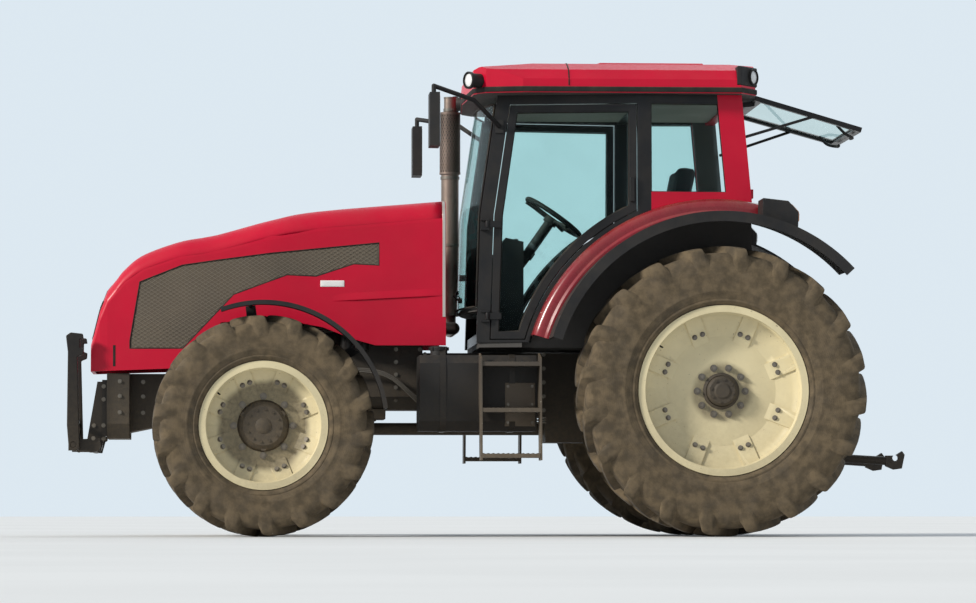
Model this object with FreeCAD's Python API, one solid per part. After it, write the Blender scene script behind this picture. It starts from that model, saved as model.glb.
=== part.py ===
import FreeCAD
import Part
import math
import os

# Farm tractor with a glazed cab, four driven wheels, a folding front linkage and a rear lift linkage.
# Lengths are millimetres. While the pieces are shaped, X runs forwards from the rear axle, Y to the
# left from the middle plane and Z up from a plane that lies AXLE_HEIGHT below the rear axle. The whole
# is centred over the origin and stood on its tyres at the end.

# Running gear
AXLE_HEIGHT = 875.0         # rear axle above the plane that heights are measured from
WHEELBASE = 2748.0
REAR_TRACK = 950.0          # middle plane of a rear wheel from the middle of the tractor
REAR_RADIUS = 875.0         # over the lugs
REAR_WIDTH = 520.0
REAR_RIM_RADIUS = 508.0     # over the rim flanges
REAR_RIM_HALF = 212.0       # between the bead seats, half
REAR_LUGS = 20              # on each half of the tread
FRONT_TRACK = 940.0
FRONT_RADIUS = 665.0
FRONT_WIDTH = 420.0
FRONT_RIM_RADIUS = 381.0
FRONT_RIM_HALF = 165.0
FRONT_LUGS = 18
FRONT_Z = AXLE_HEIGHT - REAR_RADIUS + FRONT_RADIUS    # front axle, so that all tyres stand level

# Tyres and rims
LUG_DEPTH = 45.0
LUG_ROOT = 95.0             # from the crown down to the foot of a lug
LUG_TOP = 62.0              # width of a lug at its top
LUG_FOOT = 112.0            # width of a lug at its foot
LUG_SLANT = 0.78            # run round the tyre for each millimetre across it
SHOULDER_DROP = 7.0
SHOULDER_INSET = 30.0
BEAD_FIT = 0.5
RIM_FLANGE = 25.0           # flange height over the bead seat
RIM_FLANGE_WALL = 12.0
RIM_WALL = 12.0
DISC_WALL = 14.0
RIM_BRACKETS = 8            # between the disc and the rim
BRACKET_HALF = 50.0
BRACKET_WALL = 12.0

# Hubs and axles
REAR_DISC_Y = 71.0          # inner face of the disc from the middle of the rim
REAR_DISC_RISE = 40.0
REAR_DISC_FLAT = 330.0
REAR_DISC_BORE = 110.0
REAR_SHAFT_RADIUS = 70.0
REAR_HUB_RADIUS = 90.0
REAR_HUB_FLANGE = 180.0
REAR_HUB_REACH = 160.0
FRONT_DISC_Y = 20.0
FRONT_DISC_RISE = 40.0
FRONT_DISC_FLAT = 250.0
FRONT_DISC_BORE = 155.0
FRONT_HUB_RADIUS = 148.0
FRONT_HUB_FLANGE = 200.0
FRONT_HUB_INSIDE = -90.0
FRONT_HUB_REACH = 72.0
SPINDLE_RADIUS = 45.0
HUB_FLANGE_WALL = 20.0
SHAFT_FIT = 0.3             # radial play of shafts and pins
SEAT_FIT = 0.3              # play between curved faces that lie on each other
TRUMPET_END = 900.0
TRUMPET_RADIUS = 132.0
KINGPIN_Y = 720.0
KINGPIN_RADIUS = 30.0
KINGPIN_BOSS = 70.0
KNUCKLE_GAP = 5.0
KNUCKLE_ARM = 35.0          # height of a knuckle's upper and lower arm
KNUCKLE_EYE = 90.0          # arms start this far above and below the axle line
STEERING_ARM = 190.0
STEERING_ROD_RADIUS = 20.0
STEERING_BALL = 25.0

# Drive line
GEARBOX_HALF = 230.0
AXLE_CENTRE_HALF = 300.0
AXLE_CENTRE_LENGTH = 250.0
GEARBOX_FRONT = 1760.0
GEARBOX_BOTTOM = FRONT_Z - 85.0     # underside of the transfer case, which holds the drive shaft
GEARBOX_TOP = 1130.0
TRANSFER_FRONT = 1000.0
BELLY_Z = FRONT_Z + 75.0    # underside of the gearbox ahead of the transfer case
ENGINE_FRONT = WHEELBASE + 2.0
ENGINE_HALF = 240.0
ENGINE_BOTTOM = FRONT_Z + 115.0
BELL_FRONT = GEARBOX_FRONT + 180.0  # front face of the flywheel housing
BELL_TOP = 1340.0
DRIVE_SHAFT_RADIUS = 38.0
FRAME_FRONT = WHEELBASE + 952.0
FRAME_HALF = 170.0
FRAME_TOP = FRONT_Z + 335.0
FRAME_BOTTOM = FRONT_Z + 60.0
CHEEK_WALL = 45.0
BRACKET_BACK = 102.0        # near faces of the front axle brackets from the axle
TRUNNION_RADIUS = 55.0
NOSE_PLATE_HALF = 300.0
NOSE_PLATE_WALL = 140.0
NOSE_PLATE_BACK = FRAME_FRONT - NOSE_PLATE_WALL
NOSE_PLATE_BOTTOM = FRONT_Z - 65.0

# Engine and cooling pack
CYLINDERS = 6
CRANKCASE_TOP = 1240.0
HEAD_HALF = 150.0
HEAD_TOP = 1430.0
COVER_HALF = 95.0           # rocker cover
MANIFOLD_Y = 205.0
MANIFOLD_Z = 1345.0
TURBO_Z = 1450.0
FAN_Z = 1300.0
FAN_RADIUS = 260.0
FAN_BLADES = 8
SHROUD_GAP = 12.0           # from the blades' tips to the shroud
RADIATOR_BACK = ENGINE_FRONT + 150.0
RADIATOR_FRONT = RADIATOR_BACK + 170.0
RADIATOR_HALF = 285.0
RADIATOR_TOP = 1640.0
CLEANER_RADIUS = 105.0      # air cleaner ahead of the radiator

# Hood
HOOD_WALL = 22.0
HOOD_REAR = 1625.0          # rear edge, at the cab
HOOD_BOTTOM = FRAME_TOP + 20.0
HOOD_REAR_BOTTOM = 1170.0
HOOD_ARCH_TOP = HOOD_BOTTOM + 310.0
HOOD_HINGE_X = 1660.0
HOOD_HINGE_Z = 2000.0
HOOD_PIN_RADIUS = 12.0
HOOD_EAR_Y = 207.0          # inner face of a hinge ear under the hood
HOOD_EAR_WALL = 20.0
GRILLE_RECESS = 5.0
GRILLE_WALL = 10.0

# Cab
CAB_HALF = 830.0            # outer face of the cab side at the middle post, at sill height
POST_X = 470.0              # bend of the cab side in plan
DOOR_TAPER = 0.183          # inward run of the door side for each millimetre forwards
QUARTER_TAPER = 0.056
CAB_LEAN = 0.030            # inward run for each millimetre upwards
FLOOR_TOP = 1180.0
FLOOR_WALL = 30.0
EAVES_Z = 2690.0            # underside of the roof
RAIL_Z = 2635.0             # underside of the top rail
FRAME_WALL = 60.0
DOOR_WALL = 50.0
DOOR_GAP = 6.0
DOOR_RIM = 45.0
GLASS_WALL = 6.0
GLASS_INSET = 22.0
ROOF_HALF = 850.0
HOUSE_HALF = 640.0          # outer face of the inner wheelhouse walls
SHEET_WALL = 15.0
CAB_REAR = -236.0
REAR_POST_TOP = -165.0      # rear edge of the rear corner post at the eaves
CAB_FRONT = 1372.0
SEAT_TOP = 1600.0           # top of the seat's carrier

# Rear fenders
BAND_RADIUS = REAR_RADIUS + 300.0
BAND_WALL = 15.0
BAND_EDGE = 866.0           # outer face of the band's side
BAND_ROUND = 50.0           # outer radius of its shoulder
BAND_LIP = 14.0             # lip at the foot of its side, on the flare
FLARE_RADIUS = REAR_RADIUS + 187.0
FLARE_WALL = 14.0
FLARE_EDGE = 1210.0
FLARE_LIP = 62.0
FENDER_ANGLES = (17.2, 103.0, 137.0)    # front end, front face of the band's end wall, rear end of the flare
BAND_END = 0.8                          # angle that the end wall takes
FENDER_TOP = AXLE_HEIGHT + BAND_RADIUS
WAIST_Z = FENDER_TOP + 44.0             # lower edge of the rear side window

# Tank, tool box and steps
TANK_BACK = REAR_RADIUS + 215.0
TANK_FRONT = WHEELBASE - FRONT_RADIUS - 283.0
TANK_INNER = 300.0
TANK_OUTER = 760.0
TANK_TOP = 1100.0
BEARER_WIDTH = 60.0
STEPS_BACK = REAR_RADIUS + 210.0
STEPS_FRONT = 1432.0
STEP_WALL = 12.0

# Front fenders
FENDER_CLEARANCE = 70.0
FENDER_WALL = 12.0
FENDER_INNER = 740.0
FENDER_OUTER = 1150.0
FENDER_LIP = 26.0

# Linkages
LINK_PIVOT_X = -200.0
LINK_PIVOT_Z = AXLE_HEIGHT - 355.0
LINK_PIVOT_Y = 240.0
LINK_LENGTH = 930.0
LINK_SPREAD = 410.0
LINK_DROP = 58.0
LIFT_PIVOT_X = -330.0
LIFT_PIVOT_Z = AXLE_HEIGHT + 205.0
LIFT_PIVOT_Y = 318.0
LIFT_SHARE = 0.4            # where the lift rod meets the lower link, along it
FOLD_X = FRAME_FRONT + 200.0
FOLD_Z = FRONT_Z - 105.0
FRONT_LINK_INNER = 345.0
FRONT_LINK_OUTER = 390.0
FRONT_LINK_HEIGHT = 686.0
CLEVIS_PIN_RADIUS = 19.0
HITCH_PIN_RADIUS = 19.0
PTO_RADIUS = 17.5


def vec(x, y, z):
    return FreeCAD.Vector(x, y, z)


def block(xs, ys, zs):
    """Block between two limits on each axis."""
    return Part.makeBox(xs[1] - xs[0], ys[1] - ys[0], zs[1] - zs[0], vec(xs[0], ys[0], zs[0]))


def flat(points):
    """Flat face round a closed run of points."""
    return Part.Face(Part.makePolygon(points + points[:1]))


def side_prism(outline, ys):
    """Side outline of (x, z) points, drawn out across the tractor."""
    return flat([vec(x, ys[0], z) for x, z in outline]).extrude(vec(0, ys[1] - ys[0], 0))


def front_prism(outline, xs):
    """Front outline of (y, z) points, drawn out along the tractor."""
    return flat([vec(xs[0], y, z) for y, z in outline]).extrude(vec(xs[1] - xs[0], 0, 0))


def plan_prism(outline, zs):
    """Plan outline of (x, y) points, drawn out upwards."""
    return flat([vec(x, y, zs[0]) for x, y in outline]).extrude(vec(0, 0, zs[1] - zs[0]))


def rod(start, end, radius):
    """Round bar between two (x, y, z) points."""
    run = vec(*end) - vec(*start)
    return Part.makeCylinder(radius, run.Length, vec(*start), run)


def drum(x, z, radius, ys):
    """Cylinder across the tractor."""
    return rod((x, ys[0], z), (x, ys[1], z), radius)


def turned(profile, x=0.0, z=0.0):
    """Solid of revolution about a cross axis from (radius, y) points."""
    shape = flat([vec(r, y, 0) for r, y in profile]).revolve(vec(0, 0, 0), vec(0, 1, 0), 360)
    shape.translate(vec(x, 0, z))
    return shape


def swung(face, x, z, angles):
    """Face of (radius, y) points swung about a cross axis, between angles up from the forward direction."""
    face.rotate(vec(0, 0, 0), vec(0, -1, 0), angles[0])
    shape = face.revolve(vec(0, 0, 0), vec(0, -1, 0), angles[1] - angles[0])
    shape.translate(vec(x, 0, z))
    return shape


def sector(x, z, radii, ys, angles):
    """Part of a ring about a cross axis."""
    near, far = radii
    return swung(flat([vec(near, ys[0], 0), vec(far, ys[0], 0), vec(far, ys[1], 0), vec(near, ys[1], 0)]),
                 x, z, angles)


def fused(shapes):
    return shapes[0].multiFuse(shapes[1:]).removeSplitter()


def mirrored(shape):
    return shape.mirror(vec(0, 0, 0), vec(0, 1, 0))


def pair(shape):
    """A left-hand solid and its right-hand twin."""
    return Part.makeCompound([shape, mirrored(shape)])


def frustum(foot, top):
    """Flat-faced solid between two like polygons."""
    faces = [flat(foot), flat(top)]
    for i in range(len(foot)):
        j = (i + 1) % len(foot)
        faces.append(flat([foot[i], foot[j], top[j], top[i]]))
    return Part.makeSolid(Part.makeShell(faces))


def shrunk(outline, distance):
    """Outline of straight edges with every edge moved inwards, for points that run anticlockwise."""
    moved = []
    count = len(outline)
    for i in range(count):
        before, here, after = outline[i - 1], outline[i], outline[(i + 1) % count]
        lines = []
        for a, b in ((before, here), (here, after)):
            length = math.hypot(b[0] - a[0], b[1] - a[1])
            normal = ((a[1] - b[1]) / length, (b[0] - a[0]) / length)
            lines.append((normal, normal[0] * here[0] + normal[1] * here[1] + distance))
        (n1, d1), (n2, d2) = lines
        turn = n1[0] * n2[1] - n1[1] * n2[0]
        moved.append(((d1 * n2[1] - d2 * n1[1]) / turn, (n1[0] * d2 - n2[0] * d1) / turn))
    return moved


def tyre(radius, width, rim_radius, rim_half, lugs):
    """Tyre about the origin: a ring of flat facets with slanting lugs, staggered on its two halves."""
    half = width / 2
    sides = 2 * lugs
    bore = (rim_radius - RIM_FLANGE + BEAD_FIT) / math.cos(math.pi / sides)
    crown = radius - LUG_DEPTH
    wall = crown - bore
    outside = [(bore, rim_half - 16), (bore + 0.38 * wall, half - 6), (bore + 0.72 * wall, half),
               (crown - SHOULDER_DROP, half - SHOULDER_INSET)]
    profile = outside + [(r, -y) for r, y in reversed(outside)]
    rows = []
    for k in range(sides):
        a = 2 * math.pi * k / sides
        rows.append([vec(r * math.cos(a), y, r * math.sin(a)) for r, y in profile])
    faces = []
    for k in range(sides):
        here, ahead = rows[k], rows[(k + 1) % sides]
        for i in range(len(profile)):
            j = (i + 1) % len(profile)
            faces.append(flat([here[i], here[j], ahead[j], ahead[i]]))
    ring = Part.makeSolid(Part.makeShell(faces))

    middle = half / 2
    reach = LUG_SLANT * middle + LUG_TOP / 2
    top_height = math.sqrt(radius ** 2 - reach ** 2)

    def lug_outline(angle, side, height, lug_width, ends):
        out = vec(math.cos(angle), 0, math.sin(angle))
        around = vec(-math.sin(angle), 0, math.cos(angle))
        points = []
        for y, edge in ((ends[0], -1), (ends[0], 1), (ends[1], 1), (ends[1], -1)):
            along = LUG_SLANT * (y - middle) + edge * lug_width / 2
            points.append(out * height + around * along + vec(0, side * y, 0))
        return points

    bars = []
    for k in range(lugs):
        for side, lag in ((1, 0.0), (-1, 0.5)):
            angle = 2 * math.pi * (k + lag) / lugs
            foot = lug_outline(angle, side, crown - LUG_ROOT, LUG_FOOT, (2, half - 2))
            top = lug_outline(angle, side, top_height, LUG_TOP, (10, half - 12))
            bars.append(frustum(foot, top))
    return ring.multiFuse(bars).removeSplitter()


def rim(rim_radius, rim_half, disc_y, disc_rise, disc_flat, disc_bore):
    """Wheel rim and dished disc about the origin, its dish open to the left."""
    seat = rim_radius - RIM_FLANGE
    well = seat - RIM_WALL
    edge = rim_half + RIM_FLANGE_WALL
    rise = disc_y + disc_rise
    shape = turned([(rim_radius, edge), (rim_radius, rim_half), (seat, rim_half), (seat, -rim_half),
                    (rim_radius, -rim_half), (rim_radius, -edge), (well, -edge), (well, rise),
                    (disc_flat, disc_y), (disc_bore, disc_y), (disc_bore, disc_y + DISC_WALL),
                    (disc_flat, disc_y + DISC_WALL), (well, rise + DISC_WALL), (well, edge)])
    top = DISC_WALL + BRACKET_WALL
    side = [(disc_flat - 30, disc_y + 5), (disc_flat, disc_y + 5), (well + 4, rise + 5),
            (well + 4, rise + top), (disc_flat, disc_y + top), (disc_flat - 30, disc_y + DISC_WALL)]
    brackets = []
    for k in range(RIM_BRACKETS):
        bracket = flat([vec(r, y, -BRACKET_HALF) for r, y in side]).extrude(vec(0, 0, 2 * BRACKET_HALF))
        bracket.rotate(vec(0, 0, 0), vec(0, 1, 0), 360 * (k + 0.5) / RIM_BRACKETS)
        brackets.append(bracket)
    return fused([shape] + brackets)


def rear_hub():
    """Rear half shaft with its wheel flange, about the origin."""
    start = TRUMPET_END - 195 - REAR_TRACK
    back = REAR_DISC_Y - HUB_FLANGE_WALL
    return turned([(0, start), (REAR_SHAFT_RADIUS, start), (REAR_SHAFT_RADIUS, back), (REAR_HUB_FLANGE, back),
                   (REAR_HUB_FLANGE, REAR_DISC_Y), (REAR_HUB_RADIUS, REAR_DISC_Y),
                   (REAR_HUB_RADIUS, REAR_HUB_REACH - 15), (REAR_HUB_RADIUS - 15, REAR_HUB_REACH),
                   (0, REAR_HUB_REACH)])


def front_hub():
    """Front planetary hub, bored for the spindle, about the origin."""
    back = FRONT_DISC_Y - HUB_FLANGE_WALL
    bore = SPINDLE_RADIUS + SHAFT_FIT
    depth = FRONT_HUB_INSIDE + 95
    return turned([(bore, FRONT_HUB_INSIDE), (FRONT_HUB_RADIUS, FRONT_HUB_INSIDE), (FRONT_HUB_RADIUS, back),
                   (FRONT_HUB_FLANGE, back), (FRONT_HUB_FLANGE, FRONT_DISC_Y),
                   (FRONT_HUB_RADIUS, FRONT_DISC_Y), (FRONT_HUB_RADIUS, FRONT_HUB_REACH - 24),
                   (FRONT_HUB_RADIUS - 30, FRONT_HUB_REACH),
                   (0, FRONT_HUB_REACH), (0, depth), (bore, depth)])


def add_wheels(pieces):
    rear = {"tyre_rear": tyre(REAR_RADIUS, REAR_WIDTH, REAR_RIM_RADIUS, REAR_RIM_HALF, REAR_LUGS),
            "rim_rear": rim(REAR_RIM_RADIUS, REAR_RIM_HALF, REAR_DISC_Y, REAR_DISC_RISE, REAR_DISC_FLAT,
                            REAR_DISC_BORE),
            "hub_rear": rear_hub()}
    front = {"tyre_front": tyre(FRONT_RADIUS, FRONT_WIDTH, FRONT_RIM_RADIUS, FRONT_RIM_HALF, FRONT_LUGS),
             "rim_front": rim(FRONT_RIM_RADIUS, FRONT_RIM_HALF, FRONT_DISC_Y, FRONT_DISC_RISE,
                              FRONT_DISC_FLAT, FRONT_DISC_BORE),
             "hub_front": front_hub()}
    for group, x, y, z in ((rear, 0, REAR_TRACK, AXLE_HEIGHT), (front, WHEELBASE, FRONT_TRACK, FRONT_Z)):
        for name, shape in group.items():
            shape.translate(vec(x, y, z))
            pieces[name + "_left"] = shape
            pieces[name + "_right"] = mirrored(shape)


def transmission():
    """Gearbox and rear axle centre in one casting, with the transfer case and the lower link pivots."""
    body = side_prism([(-180, GEARBOX_BOTTOM), (TRANSFER_FRONT, GEARBOX_BOTTOM), (TRANSFER_FRONT, BELLY_Z),
                       (GEARBOX_FRONT, BELLY_Z), (GEARBOX_FRONT, GEARBOX_TOP), (-180, GEARBOX_TOP)],
                      (-GEARBOX_HALF, GEARBOX_HALF))
    length = AXLE_CENTRE_LENGTH
    centre = front_prism([(-AXLE_CENTRE_HALF, AXLE_HEIGHT - 205), (-GEARBOX_HALF, AXLE_HEIGHT - 285),
                          (GEARBOX_HALF, AXLE_HEIGHT - 285), (AXLE_CENTRE_HALF, AXLE_HEIGHT - 205),
                          (AXLE_CENTRE_HALF, GEARBOX_TOP - 60), (GEARBOX_HALF, GEARBOX_TOP + 10),
                          (-GEARBOX_HALF, GEARBOX_TOP + 10), (-AXLE_CENTRE_HALF, GEARBOX_TOP - 60)],
                         (-length, length))
    bell = front_prism([(-260, BELLY_Z + 60), (-180, BELLY_Z), (180, BELLY_Z), (260, BELLY_Z + 60),
                        (260, GEARBOX_TOP - 40), (-260, GEARBOX_TOP - 40)],
                       (GEARBOX_FRONT - 180, GEARBOX_FRONT))
    x, z = LINK_PIVOT_X, LINK_PIVOT_Z
    lugs = []
    for side in (-1, 1):
        for y in (LINK_PIVOT_Y - 48, LINK_PIVOT_Y + 40):
            lugs.append(side_prism([(x - 50, z + 180), (x - 50, z), (x, z - 45), (x + 50, z),
                                    (x + 50, z + 180)], (side * y, side * (y + 15))))
        ends = (side * (LINK_PIVOT_Y - 48), side * (LINK_PIVOT_Y + 60))
        lugs.append(drum(x, z, 16, (min(ends), max(ends))))
    return fused([body, centre, bell] + lugs)


def rear_axle_housing():
    """Trumpet housings between the gearbox and the rear wheels."""
    bore = REAR_SHAFT_RADIUS + SHAFT_FIT
    start = TRUMPET_END - 200
    profile = [(0, AXLE_CENTRE_HALF), (190, AXLE_CENTRE_HALF), (190, AXLE_CENTRE_HALF + 60),
               (TRUMPET_RADIUS + 12, AXLE_CENTRE_HALF + 120), (TRUMPET_RADIUS, TRUMPET_END - 40),
               (TRUMPET_RADIUS + 30, TRUMPET_END - 30), (TRUMPET_RADIUS + 30, TRUMPET_END),
               (bore, TRUMPET_END), (bore, start), (0, start)]
    return pair(turned(profile, 0, AXLE_HEIGHT))


def engine_section(top):
    """Front outline of the crankcase, whose sides the front frame's cheeks lie on, up to a height."""
    left = [(150, ENGINE_BOTTOM), (ENGINE_HALF, ENGINE_BOTTOM + 80), (ENGINE_HALF, top - 60), (200, top)]
    return left + [(-y, z) for y, z in reversed(left)]


def fan():
    """Fan with its hub and pulley on the front of the engine."""
    front = ENGINE_FRONT
    parts = [rod((front - 10, 0, FAN_Z), (front + 45, 0, FAN_Z), 45),
             rod((front + 8, 0, FAN_Z), (front + 32, 0, FAN_Z), 85),
             rod((front + 45, 0, FAN_Z), (front + 85, 0, FAN_Z), 75)]
    for k in range(FAN_BLADES):
        blade = block((-3, 3), (-34, 34), (60, FAN_RADIUS - 5))
        blade.rotate(vec(0, 0, 0), vec(0, 0, 1), 25)
        blade.rotate(vec(0, 0, 0), vec(1, 0, 0), 360 * k / FAN_BLADES)
        blade.translate(vec(front + 65, 0, FAN_Z))
        parts.append(blade)
    return parts


def engine():
    """Engine: flywheel housing, crankcase, head with its cover, manifolds, turbocharger and fan."""
    first, last = BELL_FRONT + 20, ENGINE_FRONT - 50
    cover = [(COVER_HALF, HEAD_TOP), (COVER_HALF, HEAD_TOP + 70), (COVER_HALF - 35, HEAD_TOP + 105)]
    cover += [(-y, z) for y, z in reversed(cover)]
    parts = [front_prism(engine_section(BELL_TOP), (GEARBOX_FRONT, BELL_FRONT)),
             front_prism(engine_section(CRANKCASE_TOP), (BELL_FRONT, ENGINE_FRONT)),
             block((first, last), (-HEAD_HALF, HEAD_HALF), (CRANKCASE_TOP, HEAD_TOP)),
             front_prism(cover, (first + 20, last - 20)),
             block((last, ENGINE_FRONT), (-HEAD_HALF + 20, HEAD_HALF - 20), (CRANKCASE_TOP, FAN_Z + 95))]
    pitch = (last - first) / CYLINDERS
    for k in range(CYLINDERS):
        x = first + (k + 0.5) * pitch
        parts.append(rod((x, HEAD_HALF - 20, MANIFOLD_Z), (x, MANIFOLD_Y, MANIFOLD_Z), 24))
        parts.append(rod((x, 20 - HEAD_HALF, MANIFOLD_Z), (x, -MANIFOLD_Y, MANIFOLD_Z), 20))
    parts.append(rod((first + 10, MANIFOLD_Y, MANIFOLD_Z), (last - 20, MANIFOLD_Y, MANIFOLD_Z), 42))
    parts.append(rod((BELL_FRONT - 5, -MANIFOLD_Y, MANIFOLD_Z), (last - 20, -MANIFOLD_Y, MANIFOLD_Z), 33))
    x, y = first + 2.6 * pitch, -MANIFOLD_Y - 15
    parts.append(rod((x, y, MANIFOLD_Z), (x, y, TURBO_Z), 26))
    for reach, radius in ((-70, 74), (0, 40), (40, 82)):
        parts.append(rod((x + reach, y, TURBO_Z), (x + reach + 50, y, TURBO_Z), radius))
    return fused(parts + fan())


def cooling_pack():
    """Radiator with its fan shroud and cooler on the front frame, and the air cleaner ahead of it."""
    foot = FRAME_TOP + SEAT_FIT
    shroud = FAN_RADIUS + SHROUD_GAP
    start = (ENGINE_FRONT + 45, 0, FAN_Z)
    ring = rod(start, (RADIATOR_BACK + 5, 0, FAN_Z), shroud + 12)
    ring = ring.cut(rod(start, (RADIATOR_BACK, 0, FAN_Z), shroud))
    x = RADIATOR_FRONT + 40 + CLEANER_RADIUS
    z = RADIATOR_TOP - 90
    half = RADIATOR_HALF
    parts = [ring, block((RADIATOR_BACK, RADIATOR_FRONT), (-half, half), (foot, RADIATOR_TOP)),
             block((RADIATOR_FRONT, RADIATOR_FRONT + 40), (45 - half, half - 45), (FRAME_TOP + 60, z - 110)),
             drum(x, z, CLEANER_RADIUS, (-215, 215)), drum(x, z, CLEANER_RADIUS - 30, (-240, 240))]
    for side in (-1, 1):
        ys = sorted((side * 150, side * 162))
        parts.append(block((RADIATOR_FRONT, x), ys, (z - 60, z + 60)))
    return fused(parts)


def front_frame():
    """Cast front frame: cheeks beside the engine, the axle brackets, the beam and the nose plate."""
    cheek = ENGINE_HALF + SEAT_FIT
    outside = cheek + CHEEK_WALL
    back = ENGINE_FRONT + SEAT_FIT
    bracket = WHEELBASE + BRACKET_BACK
    step = ENGINE_BOTTOM + 20
    plate = [(-NOSE_PLATE_HALF + 60, NOSE_PLATE_BOTTOM), (NOSE_PLATE_HALF - 60, NOSE_PLATE_BOTTOM),
             (NOSE_PLATE_HALF, NOSE_PLATE_BOTTOM + 90), (NOSE_PLATE_HALF, FRAME_TOP),
             (-NOSE_PLATE_HALF, FRAME_TOP), (-NOSE_PLATE_HALF, NOSE_PLATE_BOTTOM + 90)]
    parts = [side_prism([(back, step), (bracket, step), (bracket, FRAME_BOTTOM),
                         (bracket + 300, FRAME_BOTTOM), (NOSE_PLATE_BACK, NOSE_PLATE_BOTTOM + 40),
                         (NOSE_PLATE_BACK, FRAME_TOP), (back, FRAME_TOP)], (-FRAME_HALF, FRAME_HALF)),
             block((back, ENGINE_FRONT + 100), (-outside, outside), (ENGINE_BOTTOM + 10, FRAME_TOP)),
             front_prism(plate, (NOSE_PLATE_BACK, FRAME_FRONT)),
             block((bracket, bracket + 38), (-120, 120), (FRONT_Z - 75, FRONT_Z + 95)),
             block((WHEELBASE - 188, WHEELBASE - BRACKET_BACK), (-outside, outside),
                   (FRONT_Z - 75, ENGINE_BOTTOM - SEAT_FIT))]
    for side in (-1, 1):
        ys = sorted((side * cheek, side * outside))
        parts.append(block((ENGINE_FRONT - 350, ENGINE_FRONT + 50), ys, (ENGINE_BOTTOM - 20, FRAME_TOP)))
    trunnion = rod((WHEELBASE - 200, 0, FRONT_Z), (WHEELBASE + 150, 0, FRONT_Z), TRUNNION_RADIUS + SHAFT_FIT)
    return fused(parts).cut(trunnion)


def front_axle():
    """Driven front axle beam with its differential, trunnions, kingpin bosses and steering ram barrel."""
    x, z = WHEELBASE, FRONT_Z
    ram_x = x + STEERING_ARM
    half = turned([(0, 0), (98, 0), (98, 80), (62, 190), (56, KINGPIN_Y - 40), (0, KINGPIN_Y - 40)], x, z)
    boss = rod((x, KINGPIN_Y, z - 85), (x, KINGPIN_Y, z + 85), KINGPIN_BOSS)
    neck = block((x - 40, x + 40), (KINGPIN_Y - 150, KINGPIN_Y), (z - 50, z + 50))
    pin = rod((x, KINGPIN_Y, z - 90), (x, KINGPIN_Y, z + 90), KINGPIN_RADIUS + SHAFT_FIT)
    barrel = drum(ram_x, z, 45, (0, 280))
    carrier = block((x + 80, ram_x), (215, 245), (z - 30, z + 30))
    carrier = carrier.fuse(block((x, x + 110), (195, 265), (z - 45, z + 45)))
    left = fused([half, boss, neck, barrel, carrier]).cut(pin)
    trunnion = rod((x - 186, 0, z), (x + 138, 0, z), TRUNNION_RADIUS)
    shape = fused([left, mirrored(left), trunnion])
    shape = shape.cut(drum(ram_x, z, STEERING_ROD_RADIUS + SHAFT_FIT, (-300, 300)))
    return shape.cut(rod((x - 190, 0, z), (x - 120, 0, z), DRIVE_SHAFT_RADIUS + SHAFT_FIT))


def drive_shaft():
    return rod((TRANSFER_FRONT, 0, FRONT_Z), (WHEELBASE - 122, 0, FRONT_Z), DRIVE_SHAFT_RADIUS)


def knuckle():
    """Left steering knuckle with its kingpins, spindle and forward steering arm."""
    x, y, z = WHEELBASE, KINGPIN_Y, FRONT_Z
    top = KNUCKLE_EYE + KNUCKLE_ARM
    web = y + KINGPIN_BOSS + 12
    hub_back = FRONT_TRACK + FRONT_HUB_INSIDE
    parts = [block((x - 60, x + 60), (web, web + 35), (z - top, z + top))]
    for low, high in ((KNUCKLE_EYE, top), (-top, -KNUCKLE_EYE)):
        parts.append(rod((x, y, z + low), (x, y, z + high), KINGPIN_BOSS + 2))
        parts.append(block((x - 60, x + 60), (y, web + 35), (z + low, z + high)))
    parts.append(rod((x, y, z + 50), (x, y, z + top), KINGPIN_RADIUS))
    parts.append(rod((x, y, z - top), (x, y, z - 50), KINGPIN_RADIUS))
    parts.append(drum(x, z, SPINDLE_RADIUS + 25, (web, hub_back - KNUCKLE_GAP)))
    parts.append(drum(x, z, SPINDLE_RADIUS, (web, hub_back + 90)))
    tip = (x + STEERING_ARM, y - 15)
    parts.append(plan_prism([(x, y - 55), (tip[0], tip[1] - 30), (tip[0], tip[1] + 30), (x, y + 55)],
                            (z - top, z - KNUCKLE_EYE)))
    parts.append(rod((*tip, z - top), (*tip, z - STEERING_BALL - KNUCKLE_GAP), 32))
    shape = fused(parts)
    blind = rod((x, y, z - 45), (x, y, z + 45), KINGPIN_RADIUS + 1)
    return shape.cut(blind)


def steering_rod():
    """Rod of the steering ram with a ball at each end."""
    x = WHEELBASE + STEERING_ARM
    end = KINGPIN_Y - 15
    return fused([drum(x, FRONT_Z, STEERING_ROD_RADIUS, (-end, end)),
                  Part.makeSphere(STEERING_BALL, vec(x, end, FRONT_Z)),
                  Part.makeSphere(STEERING_BALL, vec(x, -end, FRONT_Z))])


def front_fender():
    """Left front fender with its bracket, which stands on the knuckle."""
    inner = FRONT_RADIUS + FENDER_CLEARANCE
    x, z = WHEELBASE, FRONT_Z
    outer = inner + FENDER_WALL
    sweep = (70, 172)
    parts = [sector(x, z, (inner, outer), (FENDER_INNER, FENDER_OUTER), sweep),
             sector(x, z, (outer - FENDER_LIP, outer), (FENDER_OUTER - FENDER_WALL, FENDER_OUTER), sweep)]
    ys = (KINGPIN_Y - 20, KINGPIN_Y - 8)
    foot = z + KNUCKLE_EYE + KNUCKLE_ARM
    for angle in (84, 140):
        end = math.radians(angle)
        tip = (x + inner * math.cos(end), z + inner * math.sin(end))
        side = (-30 * math.sin(end), 30 * math.cos(end))
        parts.append(side_prism([(x - 40, foot), (x + 40, foot), (tip[0] - side[0], tip[1] - side[1]),
                                 (tip[0] + side[0], tip[1] + side[1])][::-1], ys))
        parts.append(drum(*tip, 14, (ys[0], FENDER_OUTER - 60)))
    return fused(parts)


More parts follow.
